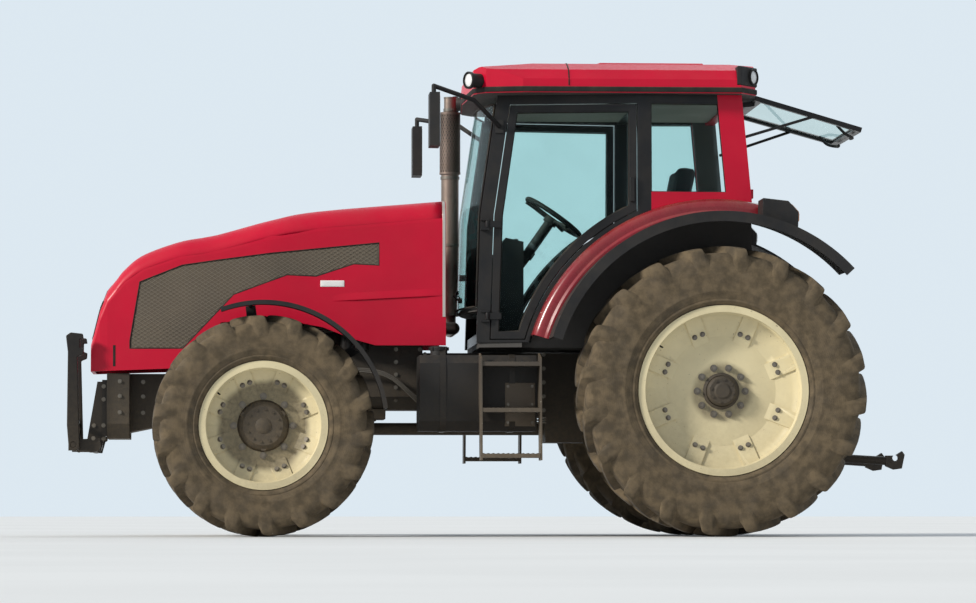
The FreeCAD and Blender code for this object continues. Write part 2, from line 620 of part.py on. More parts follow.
# Hood outline. Columns: share of the way from the hood's rear edge to the front axle, distance ahead of
# that place, height of the top, half width, shoulder radius.
HOOD_STATIONS = ((0.000, 0.0, 2065, 432, 130),
                 (0.692, 0.0, 1999, 415, 130),
                 (0.955, 0.0, 1943, 405, 130),
                 (1.000, 284.0, 1852, 382, 120),
                 (1.000, 507.0, 1811, 362, 115),
                 (1.000, 730.0, 1730, 340, 110),
                 (1.000, 842.0, 1643, 328, 100),
                 (1.000, 950.0, 1511, 316, 90),
                 (1.000, 995.0, 1399, 308, 80),
                 (1.000, 1051.0, 1177, 292, 70))


def hood_x(share, ahead=0.0):
    """Place along the hood: a share of the way to the front axle, and a distance ahead of that."""
    return HOOD_REAR + share * (WHEELBASE - HOOD_REAR) + ahead


def hood_form(inset, reach=0.0):
    """Solid inside the hood's outer face by `inset`, drawn back by `reach`."""
    low = HOOD_BOTTOM - 60
    wires = []
    last = len(HOOD_STATIONS) - 1
    for i, (share, ahead, top, half, radius) in enumerate(HOOD_STATIONS):
        x = hood_x(share, ahead)
        w, t, r = half - inset, top - inset, radius - inset
        c = r * (1 - math.sqrt(0.5))
        if i == 0:
            x = x - reach
        if i == last:
            x = x - inset
        edges = [Part.makeLine(vec(x, w, low), vec(x, w, t - r)),
                 Part.Arc(vec(x, w, t - r), vec(x, w - c, t - c), vec(x, w - r, t)).toShape(),
                 Part.makeLine(vec(x, w - r, t), vec(x, r - w, t)),
                 Part.Arc(vec(x, r - w, t), vec(x, c - w, t - c), vec(x, -w, t - r)).toShape(),
                 Part.makeLine(vec(x, -w, t - r), vec(x, -w, low)),
                 Part.makeLine(vec(x, -w, low), vec(x, w, low))]
        wires.append(Part.Wire(edges))
    return Part.makeLoft(wires, True, True)


def hood_below():
    """Space below the hood's lower edge, with the arch over the front wheel."""
    rear, low = HOOD_REAR - 125, HOOD_BOTTOM - 220
    front = hood_x(1, 1152)
    return side_prism([(rear, low), (front, low), (front, HOOD_BOTTOM - 10),
                       (hood_x(1, 1051), HOOD_BOTTOM - 10), (hood_x(1, 492), HOOD_BOTTOM + 10),
                       (hood_x(1, 422), HOOD_BOTTOM + 130),
                       (hood_x(1, 252), HOOD_ARCH_TOP - 20), (hood_x(0.913), HOOD_ARCH_TOP),
                       (hood_x(0.672), HOOD_ARCH_TOP - 50), (hood_x(0.512), HOOD_REAR_BOTTOM + 40),
                       (hood_x(0.386), HOOD_REAR_BOTTOM), (rear, HOOD_REAR_BOTTOM)], (-600, 600))


# Mesh opening in each side of the hood. Columns: share of the way and distance ahead, as in the hood's
# outline, then the height. The lower front corners follow the hood's lower edge.
SIDE_GRILLE = ((1.000, 812.0, HOOD_BOTTOM + 130), (1.000, 812.0, HOOD_BOTTOM + 175), (1.000, 752.0, 1560),
               (1.000, 492.0, 1662), (1.000, 282.0, 1692), (0.957, 0.0, 1735), (0.365, 0.0, 1800),
               (0.365, 0.0, 1660), (0.503, 0.0, 1668), (0.708, 0.0, 1592), (0.868, 0.0, 1600),
               (1.000, 177.0, HOOD_BOTTOM + 460), (1.000, 487.0, HOOD_BOTTOM + 130))
# Grille and lamp openings in the nose, as (y, z) points. The lamp is the left one.
NOSE_GRILLE = ((-170, 1190), (170, 1190), (195, 1540), (-195, 1540))
NOSE_LAMP = ((205, 1210), (262, 1230), (272, 1440), (226, 1440))
NOSE_SLOTS = 8
SLOT_PITCH = 38.0
SLOT_HEIGHT = 20.0


def hood_set():
    """The hood, its mesh panels and its headlamps, all cut from the same form."""
    outer = hood_form(0)
    hood = outer.cut(hood_form(HOOD_WALL, 50)).cut(hood_below())
    mesh_skin = hood_form(GRILLE_RECESS).cut(hood_form(GRILLE_RECESS + GRILLE_WALL, 50))
    left_tool = side_prism([(hood_x(share, ahead), z) for share, ahead, z in SIDE_GRILLE], (200, 600))
    nose = (hood_x(1, 702), hood_x(1, 1152))
    nose_tool = front_prism(list(NOSE_GRILLE), nose)
    lamp_tool = front_prism(list(NOSE_LAMP), nose)
    grille_tools = [left_tool, mirrored(left_tool), nose_tool]
    lamp_tools = [lamp_tool, mirrored(lamp_tool)]
    grilles = [mesh_skin.common(tool) for tool in grille_tools]
    for k in range(NOSE_SLOTS):
        low = NOSE_GRILLE[0][1] + 32 + k * SLOT_PITCH
        grilles[2] = grilles[2].cut(block(nose, (-150, 150), (low, low + SLOT_HEIGHT)))
    lamp_skin = hood_form(1).cut(hood_form(HOOD_WALL + 30, 50))
    lamps = [lamp_skin.common(tool) for tool in lamp_tools]
    for tool in grille_tools + lamp_tools:
        hood = hood.cut(tool)
    x, z = HOOD_HINGE_X, HOOD_HINGE_Z
    ear = side_prism([(x - 22, z - 22), (x + 22, z - 22), (x + 60, z + 50), (x - 22, z + 50)],
                     (HOOD_EAR_Y, HOOD_EAR_Y + HOOD_EAR_WALL))
    hood = fused([hood, ear, mirrored(ear)])
    hood = hood.cut(drum(x, z, HOOD_PIN_RADIUS + SHAFT_FIT, (-HOOD_EAR_Y - 40, HOOD_EAR_Y + 40)))
    return hood, Part.makeCompound(grilles), Part.makeCompound(lamps)


def hood_stand():
    """Stand on the flywheel housing that carries the hood's hinge pins."""
    x, z = HOOD_HINGE_X, HOOD_HINGE_Z
    inner = HOOD_EAR_Y - 7
    back, front = GEARBOX_FRONT + 20, BELL_FRONT - 20
    plate = side_prism([(x - 24, z - 10), (x - 14, z + 18), (x + 26, z + 14), (front - 30, z - 290),
                        (front, BELL_TOP), (back, BELL_TOP), (back, z - 290)], (inner - 18, inner))
    ties = [drum(x + 60, z - 110, 18, (0, inner - 5)), drum(x + 180, z - 480, 18, (0, inner - 5))]
    pin = drum(x, z, HOOD_PIN_RADIUS, (inner - 10, HOOD_EAR_Y + HOOD_EAR_WALL + 8))
    left = fused([plate, pin] + ties)
    return fused([left, mirrored(left)])


def cab_side_y(x, z):
    """Outer face of the cab's left side at a point of the side view."""
    taper = DOOR_TAPER if x >= POST_X else -QUARTER_TAPER
    return CAB_HALF - taper * (x - POST_X) - CAB_LEAN * (z - FLOOR_TOP)


def cab_panel(outline, thickness, inset=0.0):
    """Left-hand panel from (x, z) points, its outer face `inset` inside the cab side."""
    return flat([vec(x, cab_side_y(x, z) - inset, z) for x, z in outline]).extrude(vec(0, -thickness, 0))


def clear_arch(shape, radius):
    """The shape without what lies within a radius of the rear axle."""
    return shape.cut(drum(0, AXLE_HEIGHT, radius, (-1500, 1500)))


def arch_z(x, radius):
    """Height of an arch round the rear axle."""
    return AXLE_HEIGHT + math.sqrt(radius ** 2 - x ** 2)


def rear_post_x(z):
    """Rear edge of the rear corner post at a height."""
    share = (EAVES_Z - z) / (EAVES_Z - WAIST_Z + 194)
    return REAR_POST_TOP + (CAB_REAR - REAR_POST_TOP) * share


# Outer outline of the door side and of the door, as (x, z) points, anticlockwise from the left.
DOOR_SIDE = [(POST_X, FLOOR_TOP), (1450, FLOOR_TOP), (1425, 1960), (1320, EAVES_Z), (POST_X, EAVES_Z)]
DOORWAY = [(478, FLOOR_TOP + 15), (1372, FLOOR_TOP + 15), (1345, 1960), (1246, RAIL_Z), (478, RAIL_Z)]
DOOR_ARCH = BAND_RADIUS + 25
HINGE_X = 1385.0
HINGE_HEIGHTS = (1340.0, 1900.0)
HINGE_OFFSET = 19.0


def hinge_y():
    return cab_side_y(HINGE_X, HINGE_HEIGHTS[0]) + HINGE_OFFSET


def door():
    """Left door: a frame with a glazed opening and two hinge barrels."""
    leaf = clear_arch(cab_panel(shrunk(DOORWAY, DOOR_GAP), DOOR_WALL), DOOR_ARCH + DOOR_GAP)
    inner = shrunk(DOORWAY, DOOR_GAP + DOOR_RIM)
    opening = clear_arch(cab_panel(inner, DOOR_WALL + 20, -10), DOOR_ARCH + DOOR_GAP + DOOR_RIM)
    glass = clear_arch(cab_panel(inner, GLASS_WALL, GLASS_INSET), DOOR_ARCH + DOOR_GAP + DOOR_RIM)
    y = hinge_y()
    parts = [leaf.cut(opening)]
    for z in HINGE_HEIGHTS:
        skin = cab_side_y(1340, z)
        parts.append(block((1300, HINGE_X), (y - 4, y + 4), (z - 20, z + 20)))
        parts.append(block((1300, 1332), (skin - 10, y + 4), (z - 20, z + 20)))
        parts.append(rod((HINGE_X, y, z - 20), (HINGE_X, y, z + 20), 13))
    grip = arch_z(510, DOOR_ARCH + DOOR_GAP) + 64
    skin = cab_side_y(510, grip)
    parts.append(block((500, 522), (skin - 10, skin + 28), (grip, grip + 150)))
    shape = fused(parts)
    for z in HINGE_HEIGHTS:
        shape = shape.cut(rod((HINGE_X, y, z - 21), (HINGE_X, y, z + 21), 8))
    return shape, glass


def cab_frame():
    """Dark frame of the cab: front and middle posts, sills, top rails and cross members."""
    side = clear_arch(cab_panel(DOOR_SIDE, FRAME_WALL), BAND_RADIUS + SEAT_FIT)
    doorway = clear_arch(cab_panel(DOORWAY, FRAME_WALL + 20, -10), DOOR_ARCH)
    quarter = cab_panel([(395, FLOOR_TOP), (POST_X, FLOOR_TOP), (POST_X, EAVES_Z), (-12.7, EAVES_Z),
                         (-17.6, RAIL_Z), (395, RAIL_Z)], FRAME_WALL)
    left = [side.cut(doorway), clear_arch(quarter, BAND_RADIUS + SEAT_FIT)]
    y = hinge_y()
    for z in HINGE_HEIGHTS:
        skin = cab_side_y(1420, z)
        for low in (z - 36, z + 22):
            left.append(block((HINGE_X - 12, 1425), (y - 12, y + 10), (low, low + 14)))
            left.append(block((HINGE_X + 16, 1425), (skin - 20, y + 10), (low, low + 14)))
        left.append(rod((HINGE_X, y, z - 36), (HINGE_X, y, z + 36), 7.7))
    left = fused(left)
    half = cab_side_y(1300, EAVES_Z) - 30
    parts = [left, mirrored(left),
             block((1235, 1300), (-half, half), (RAIL_Z + 5, EAVES_Z)),
             block((405, 465), (-740, 740), (RAIL_Z + 5, EAVES_Z)),
             block((1378, 1438), (-610, 610), (FLOOR_TOP, FLOOR_TOP + 60))]
    return fused(parts)


def cab_rear_frame():
    """Painted rear corner posts and waist rails, with the cross members round the rear window."""
    low = WAIST_Z - 194
    panel = cab_panel([(CAB_REAR, low), (394.7, low), (394.7, WAIST_Z), (-66.4, WAIST_Z), (-13, EAVES_Z),
                       (REAR_POST_TOP, EAVES_Z)], FRAME_WALL)
    left = clear_arch(panel, BAND_RADIUS + SEAT_FIT)
    half = cab_side_y(-150, EAVES_Z) - 30
    low_half = cab_side_y(-200, FENDER_TOP) - 30
    parts = [left, mirrored(left), block((-163, -105), (-half, half), (RAIL_Z, EAVES_Z)),
             block((CAB_REAR, CAB_REAR + 50), (-low_half, low_half), (FENDER_TOP + 10, FENDER_TOP + 65))]
    return fused(parts)


def side_windows():
    return pair(cab_panel([(-66.2, WAIST_Z + 0.3), (394.6, WAIST_Z + 0.3), (394.6, RAIL_Z - 0.3),
                           (-17.8, RAIL_Z - 0.3)], GLASS_WALL, GLASS_INSET))


def bowed(x, z, half, bulge, thickness):
    """Plan outline, as a wire, of a sheet that bulges forwards between (x, -half) and (x, half)."""
    outer = Part.Arc(vec(x, -half, z), vec(x + bulge, 0, z), vec(x, half, z)).toShape()
    back = x - thickness
    inner = Part.Arc(vec(back, half, z), vec(back + bulge, 0, z), vec(back, -half, z)).toShape()
    return Part.Wire([outer, Part.makeLine(vec(x, half, z), vec(back, half, z)), inner,
                      Part.makeLine(vec(back, -half, z), vec(x, -half, z))])


SCREEN_BOTTOM = 1400.0
SCREEN_BULGE = 88.0


def windscreen():
    """Bowed windscreen, seated on the front of the front posts."""
    wires = []
    for z, x in ((SCREEN_BOTTOM, 1443.0), (1960.0, 1425.0), (RAIL_Z + 5, 1328.0)):
        half = cab_side_y(x, z) - 34
        wires.append(bowed(x + GLASS_WALL + SEAT_FIT, z, half, SCREEN_BULGE, GLASS_WALL))
    return Part.makeLoft(wires, True, True)


def cab_floor():
    """Tub of the cab: floor, wheelhouse walls, rear wall, bulkhead and the cowl under the windscreen."""
    step = BAND_RADIUS + 2
    plan = [(CAB_REAR, 0), (CAB_FRONT + 60, 0), (CAB_FRONT + 60, 640), (CAB_FRONT, 655),
            (step, cab_side_y(step, FLOOR_TOP) - 6.5), (step, HOUSE_HALF), (CAB_REAR, HOUSE_HALF)]
    floor = plan_prism(plan, (FLOOR_TOP - FLOOR_WALL, FLOOR_TOP))
    inner = HOUSE_HALF - SHEET_WALL
    house = block((CAB_REAR, BAND_RADIUS), (inner, HOUSE_HALF), (FLOOR_TOP, FENDER_TOP))
    house = house.common(drum(0, AXLE_HEIGHT, BAND_RADIUS - BAND_WALL - SEAT_FIT, (500, 700)))
    rear = block((CAB_REAR, CAB_REAR + SHEET_WALL), (-inner, inner),
                 (FLOOR_TOP, FENDER_TOP + 10 - SEAT_FIT))
    bulkhead = block((CAB_FRONT - 32, CAB_FRONT), (-590, 590), (FLOOR_TOP, 1420))
    cowl_wire = bowed(1440, SCREEN_BOTTOM - 25, 560, SCREEN_BULGE - 10, 1440 - CAB_FRONT + 16)
    cowl = Part.Face(cowl_wire).extrude(vec(0, 0, 24))
    return fused([floor, mirrored(floor), house, mirrored(house), rear, bulkhead, cowl])


# Notch at each rear corner of the roof: front end, inner face, lower and upper face.
LAMP_NOTCH = (-125.0, ROOF_HALF - 210.0, 2742.0, 2860.0)


def roof():
    """Roof with rounded plan corners and a crowned top, notched for the rear lamp housings."""
    side = side_prism([(-258, EAVES_Z + SEAT_FIT), (1503, EAVES_Z + SEAT_FIT), (1490, 2830), (1440, 2853),
                       (900, 2905), (0, 2895), (-240, 2870)], (-ROOF_HALF, ROOF_HALF))
    right = [(-360, 2910), (190 - ROOF_HALF, 2885), (45 - ROOF_HALF, 2835), (-ROOF_HALF, 2775),
             (-ROOF_HALF, EAVES_Z)]
    front = front_prism([(-y, z) for y, z in reversed(right)] + right, (-300, 1600))
    plan = plan_prism([(-258, 0), (-258, ROOF_HALF - 150), (-150, ROOF_HALF), (1180, ROOF_HALF),
                       (1400, ROOF_HALF - 60), (1470, ROOF_HALF - 170), (1503, 0)], (EAVES_Z, 2950))
    shape = side.common(front).common(plan.fuse(mirrored(plan)))
    notch = block((-300, LAMP_NOTCH[0]), (LAMP_NOTCH[1], ROOF_HALF + 50), LAMP_NOTCH[2:])
    return shape.cut(notch).cut(mirrored(notch))


def rear_lamp_housings():
    """Dark lamp housings in the notches at the rear corners of the roof."""
    side = LAMP_NOTCH[1] + SEAT_FIT
    front = LAMP_NOTCH[0] - SEAT_FIT
    plan = plan_prism([(-264, side), (-264, ROOF_HALF - 145), (-150, ROOF_HALF + 4), (front, ROOF_HALF + 4),
                       (front, side)], (LAMP_NOTCH[2] + SEAT_FIT, LAMP_NOTCH[3] - SEAT_FIT))
    return pair(plan)


def work_lamps():
    """Round lamps on the front corners of the roof."""
    facing = vec(110, 70, 0).normalize()
    face = vec(1435, ROOF_HALF - 115, 2768) + facing * SEAT_FIT
    body = rod(tuple(face), tuple(face + facing * 70), 44)
    ring = rod(tuple(face + facing * 70), tuple(face + facing * 84), 52)
    lamp = body.fuse(ring)
    return pair(lamp.removeSplitter())


def rear_fenders():
    """Painted band of each rear fender: top, rounded shoulder, side with its lip, and the rear end wall."""
    edge = HOUSE_HALF - SHEET_WALL
    foot = FLARE_RADIUS + FLARE_WALL + SEAT_FIT
    r, y = BAND_RADIUS - BAND_ROUND, BAND_EDGE - BAND_ROUND

    def shoulder(radius):
        half = radius * math.sqrt(0.5)
        return Part.Arc(vec(r + radius, y, 0), vec(r + half, y + half, 0), vec(r, y + radius, 0)).toShape()

    side = [vec(r, BAND_EDGE, 0), vec(foot + 2 * BAND_LIP, BAND_EDGE, 0),
            vec(foot + BAND_LIP, BAND_EDGE + BAND_LIP, 0), vec(foot, BAND_EDGE + BAND_LIP, 0),
            vec(foot, BAND_EDGE - BAND_WALL, 0), vec(r, BAND_EDGE - BAND_WALL, 0)]
    inside = BAND_RADIUS - BAND_WALL
    top = [vec(inside, y, 0), vec(inside, edge, 0), vec(BAND_RADIUS, edge, 0), vec(BAND_RADIUS, y, 0)]
    edges = [shoulder(BAND_ROUND), *Part.makePolygon(side).Edges, shoulder(BAND_ROUND - BAND_WALL),
             *Part.makePolygon(top).Edges]
    start, end = FENDER_ANGLES[:2]
    band = swung(Part.Face(Part.Wire(edges)), 0, AXLE_HEIGHT, (start, end + BAND_END))
    wall = sector(0, AXLE_HEIGHT, (foot, BAND_RADIUS - BAND_WALL / 2), (edge, BAND_EDGE - BAND_WALL / 2),
                  (end, end + BAND_END))
    return pair(fused([band, wall]))


def fender_flares():
    """Dark outer flares that widen the rear fenders over the tyres, with their outer lips."""
    outer = FLARE_RADIUS + FLARE_WALL
    sweep = (FENDER_ANGLES[0], FENDER_ANGLES[2])
    # Rings of each flare. Columns: radii, limits across the tractor, angles.
    rings = (((FLARE_RADIUS, outer), (BAND_EDGE - BAND_WALL, FLARE_EDGE), sweep),
             ((outer - FLARE_LIP, outer), (FLARE_EDGE - FLARE_WALL, FLARE_EDGE), sweep),
             ((FLARE_RADIUS, outer), (HOUSE_HALF - SHEET_WALL, BAND_EDGE), FENDER_ANGLES[1:]))
    return pair(fused([sector(0, AXLE_HEIGHT, *ring) for ring in rings]))


def tail_lamps():
    """Tail lamp blocks on the flares behind the cab."""
    outer = FLARE_RADIUS + FLARE_WALL
    top = AXLE_HEIGHT + outer
    base = side_prism([(-455, top - 171), (-462, top - 1), (-400, top + 67), (-246, top + 84),
                       (-240, top - 81)], (BAND_EDGE + BAND_LIP + 6, FLARE_EDGE - 80))
    return pair(base.cut(drum(0, AXLE_HEIGHT, outer + SEAT_FIT, (800, 1200))))


def bearers(length):
    """Bearers of a tank or box of a given length, from the gearbox's left side."""
    places = (TANK_BACK + 0.1 * length, TANK_BACK + 0.5 * length)
    return [block((x, x + BEARER_WIDTH), (GEARBOX_HALF, TANK_INNER + 20), (900, 980)) for x in places]


def fuel_tank():
    """Fuel tank on the left, on two bearers that reach the gearbox."""
    low = TANK_TOP - 460
    outline = [(TANK_INNER, low + 60), (TANK_INNER + 60, low), (TANK_OUTER - 60, low), (TANK_OUTER, low + 60),
               (TANK_OUTER, TANK_TOP - 50), (TANK_OUTER - 40, TANK_TOP), (TANK_INNER, TANK_TOP)]
    body = front_prism(outline, (TANK_BACK, TANK_FRONT))
    cap_x = TANK_FRONT - 120
    cap = rod((cap_x, TANK_OUTER - 110, TANK_TOP - 5), (cap_x, TANK_OUTER - 110, TANK_TOP + 32), 52)
    return fused([body, cap] + bearers(TANK_FRONT - TANK_BACK))


def toolbox():
    """Battery and tool box on the right, three quarters of the tank's length."""
    length = 0.75 * (TANK_FRONT - TANK_BACK)
    low = TANK_TOP - 340
    outline = [(TANK_INNER, low), (TANK_OUTER, low), (TANK_OUTER, TANK_TOP - 40), (TANK_OUTER - 40, TANK_TOP),
               (TANK_INNER, TANK_TOP)]
    body = front_prism(outline, (TANK_BACK, TANK_BACK + length))
    return mirrored(fused([body] + bearers(length)))


# Treads of the steps. Columns: height of the tread's top, inner edge, outer edge.
STEP_TREADS = ((1054, 775, 930), (775, 790, 960), (500, 830, 985))


def cab_steps():
    """Steps to the left door and to the right door, hung from the tank and the tool box."""
    hanger = TANK_OUTER + SEAT_FIT
    outline = [(TANK_OUTER + 15, 1110), (935, 1075), (960, 800), (985, 460), (830, 460), (800, 740),
               (hanger, 800), (hanger, 1060)]
    parts = [front_prism(outline, (x, x + STEP_WALL)) for x in (STEPS_BACK - STEP_WALL, STEPS_FRONT)]
    for top, inner, outer in STEP_TREADS:
        parts.append(block((STEPS_BACK, STEPS_FRONT), (inner, outer), (top - 25, top)))
    return pair(fused(parts))


def exhaust():
    """Exhaust stack on the right, from the engine to its heat-shielded tail pipe."""
    x, y, low = 1545.0, -625.0, 1300.0
    pipe = 38
    parts = [rod((GEARBOX_FRONT, -180, low), (x, -180, low), pipe), Part.makeSphere(pipe, vec(x, -180, low)),
             rod((x, -180, low), (x, y, low), pipe), Part.makeSphere(pipe, vec(x, y, low))]
    # Upright lengths of the stack: riser, silencer, tail pipe, heat shield. Columns: foot, top, radius.
    for foot, top, radius in ((low, 1420, pipe), (1400, 2300, 56), (2290, 2795, pipe), (2300, 2700, 60)):
        parts.append(rod((x, y, foot), (x, y, top), radius))
    bracket = block((1436.2, x), (y - 15, y + 5), (1620, 1660))
    return fused(parts + [bracket])


def mirrors():
    """Door mirrors on their arms from the front posts."""
    start = (1312, cab_side_y(1312, 2500) + 15, 2500)
    bend = (1480, 860, 2640)
    top = (1734, 1110, 2700)
    pad = cab_panel([(1285, 2460), (1335, 2460), (1335, 2540), (1285, 2540)], 12, -12 - SEAT_FIT)
    parts = [pad, rod(start, bend, 14), Part.makeSphere(14, vec(*bend)), rod(bend, top, 14),
             Part.makeSphere(14, vec(*top)), rod(top, (1734, 1110, 2600), 14)]
    head = plan_prism([(1704, 1040), (1764, 1050), (1764, 1250), (1704, 1260)], (2330, 2650))
    return pair(fused(parts + [head]))


def seat_base():
    """Seat carrier: foot, suspension housing and pan."""
    return fused([block((300, 640), (-190, 190), (FLOOR_TOP, FLOOR_TOP + 70)),
                  block((340, 600), (-150, 150), (FLOOR_TOP + 60, SEAT_TOP - 30)),
                  block((260, 700), (-240, 240), (SEAT_TOP - 40, SEAT_TOP))])


def seat_cushion():
    low = SEAT_TOP + SEAT_FIT
    return side_prism([(270, low), (700, low), (715, low + 70), (690, low + 115), (290, low + 100)],
                      (-255, 255))


def seat_backrest():
    low = SEAT_TOP + SEAT_FIT
    face = 270 - SEAT_FIT
    return side_prism([(170, low), (120, low + 410), (60, low + 700), (160, low + 710),
                       (face + 20, low + 100), (face, low)], (-240, 240))


def steering_column():
    """Dash console, column and steering wheel."""
    wheel_at = vec(930, 0, 1990)
    tilt = math.radians(35)
    axis = vec(-math.sin(tilt), 0, math.cos(tilt))
    ring = Part.makeTorus(195, 16, wheel_at, axis)
    hub = Part.makeCylinder(45, 40, wheel_at - axis * 50, axis)
    front = CAB_FRONT - 32 - SEAT_FIT
    dash = side_prism([(1130, FLOOR_TOP), (front, FLOOR_TOP), (front, 1700), (1240, 1850), (1130, 1825)],
                      (-180, 180))
    parts = [dash, ring, hub]
    foot = wheel_at - axis * 300
    parts.append(rod((foot.x, 0, foot.z), tuple(wheel_at - axis * 20), 32))
    parts.append(rod((foot.x, 0, foot.z), (1180, 0, 1640), 32))
    for turn in (0, 120, 240):
        spoke = rod((0, 0, 0), (195, 0, 0), 11)
        spoke.rotate(vec(0, 0, 0), vec(0, 0, 1), turn)
        spoke.rotate(vec(0, 0, 0), vec(0, 1, 0), -35)
        spoke.translate(wheel_at - axis * 20)
        parts.append(spoke)
    return fused(parts)


def rear_window_frame():
    """Rear window frame, propped open above the rear linkage, with its hinge arms and struts."""
    hinge = (-268.0, 2676.0)
    end = (-931.0, 2487.0)
    strut_z = 2440.0
    length = math.hypot(end[0] - hinge[0], end[1] - hinge[1])
    along = ((end[0] - hinge[0]) / length, (end[1] - hinge[1]) / length)
    up = (along[1], -along[0])

    def point(run, rise, y):
        return vec(hinge[0] + along[0] * run + up[0] * rise, y, hinge[1] + along[1] * run + up[1] * rise)

    def slab(outline, rises):
        face = flat([point(run, rises[0], y) for run, y in outline])
        return face.extrude(point(0, rises[1], 0) - point(0, rises[0], 0))

    outer = [(0, -560), (length, -520), (length, 520), (0, 560)]
    inner = [(45, -518), (length - 45, -478), (length - 45, 478), (45, 518)]
    frame = slab(outer, (0, 30)).cut(slab(inner, (-5, 35)))
    glass = slab(inner, (12, 12 + GLASS_WALL))
    parts = [frame]
    for side in (-1, 1):
        ys = (side * 400 - 20, side * 400 + 20)
        parts.append(side_prism([(-163.3, 2640), (-163.3, 2670), (-262, 2684), (-285, 2688), (-285, 2655),
                                 (-262, 2650)][::-1], ys))
        post = rear_post_x(strut_z) - 9 - SEAT_FIT
        parts.append(rod((post, side * 700, strut_z), tuple(point(380, 10, side * 520)), 9))
    parts.append(rod(tuple(point(length - 20, 15, -150)), tuple(point(length - 20, 15, 150)), 18))
    return fused(parts), glass


def tow_hitch():
    """Trailer hitch behind the gearbox: side plates, a clevis on a slide and the power take-off stub."""
    back = -AXLE_CENTRE_LENGTH
    parts = [block((back - 30, back), (-150, 150), (640, 990))]
    for side in (-1, 1):
        ys = sorted((side * 110, side * 132))
        parts.append(side_prism([(back - 30, 640), (back - 30, 980), (back - 150, 950), (back - 150, 660)],
                                ys))
    jaw_x = back - 205
    half = 110 - SEAT_FIT
    jaw = [(back - 25, half), (back - 160, half), (jaw_x - 40, 50), (jaw_x - 40, -50), (back - 160, -half),
           (back - 25, -half)]
    for low in (830, 905):
        parts.append(plan_prism(jaw, (low, low + 25)))
    shape = fused(parts)
    shape = shape.cut(rod((jaw_x, 0, 820), (jaw_x, 0, 940), CLEVIS_PIN_RADIUS))
    stub = rod((back - 30, 0, 745), (back - 130, 0, 745), PTO_RADIUS)
    guard = rod((back - 30, 0, 745), (back - 45, 0, 745), 60)
    return fused([shape, stub, guard])


def link_point(share):
    """Point along the left lower link, as a share of its length from the pivot."""
    return (LINK_PIVOT_X - LINK_LENGTH * share, LINK_PIVOT_Y + (LINK_SPREAD - LINK_PIVOT_Y) * share,
            LINK_PIVOT_Z - LINK_DROP * share)


def lower_links():
    """Pair of lower links of the rear linkage, joined by the stabiliser bar, with hook ends."""
    start, end = link_point(0), link_point(1)
    bar = rod(start, end, 26)
    eye = drum(start[0], start[2], 38, (start[1] - 25, start[1] + 25))
    hook = side_prism([(end[0] + 40, end[2] - 30), (end[0] + 40, end[2] + 35), (end[0] - 20, end[2] + 35),
                       (end[0] - 62, end[2] + 62), (end[0] - 78, end[2] + 40), (end[0] - 60, end[2] - 45),
                       (end[0] - 10, end[2] - 52)][::-1], (end[1] - 22, end[1] + 22))
    lift = link_point(LIFT_SHARE)
    pin = drum(lift[0], lift[2], 12, (lift[1], lift[1] + 72))
    left = fused([bar, eye, hook, pin])
    left = left.cut(drum(start[0], start[2], 16 + SHAFT_FIT, (start[1] - 30, start[1] + 30)))
    left = left.cut(drum(end[0] - 20, end[2] + 20, HITCH_PIN_RADIUS, (end[1] - 40, end[1] + 40)))
    cross = link_point(0.55)
    brace = rod((cross[0], -cross[1], cross[2]), cross, 16)
    return fused([left, mirrored(left), brace])


def lift_run():
    """Run from a lift arm's pivot to the top of its rod, the same as on the lower link."""
    a, b = link_point(0), link_point(LIFT_SHARE)
    return (b[0] - a[0], b[1] - a[1], b[2] - a[2])


def lift_arms():
    """Lift arms on their cross shaft above the gearbox."""
    run = lift_run()
    start = (LIFT_PIVOT_X, LIFT_PIVOT_Y, LIFT_PIVOT_Z)
    end = (start[0] + run[0], start[1] + run[1], start[2] + run[2])
    left = fused([rod(start, end, 28), drum(start[0], start[2], 52, (start[1] - 30, start[1] + 30)),
                  drum(end[0], end[2], 30, (end[1] - 35, end[1] + 12))])
    pin = drum(end[0], end[2], 12, (end[1] + 10, end[1] + 78))
    shaft = drum(start[0], start[2], 34, (0, start[1]))
    left = fused([left, pin, shaft])
    return fused([left, mirrored(left)])


def lift_housing():
    """Casting behind the gearbox that carries the lift shaft."""
    back = -AXLE_CENTRE_LENGTH
    x, z = LIFT_PIVOT_X, LIFT_PIVOT_Z
    body = side_prism([(back, z - 85), (x - 20, z - 70), (x - 62, z - 20), (x - 55, z + 40), (x, z + 58),
                       (back, z + 50)], (-230, 230))
    return body.cut(drum(x, z, 34 + SHAFT_FIT, (-300, 300)))


def lift_rods():
    """Lift rods from the arms down to the lower links."""
    run = lift_run()
    top = (LIFT_PIVOT_X + run[0], LIFT_PIVOT_Y + run[1] + 53, LIFT_PIVOT_Z + run[2])
    link = link_point(LIFT_SHARE)
    low = (link[0], link[1] + 50, link[2])
    eye = drum(top[0], top[2], 28, (top[1] - 20, top[1] + 20))
    foot = drum(low[0], low[2], 24, (low[1] - 16, low[1] + 16))
    left = fused([rod(top, low, 15), eye, foot])
    for x, y, z in (top, low):
        left = left.cut(drum(x, z, 12 + SHAFT_FIT, (y - 30, y + 30)))
    return pair(left)


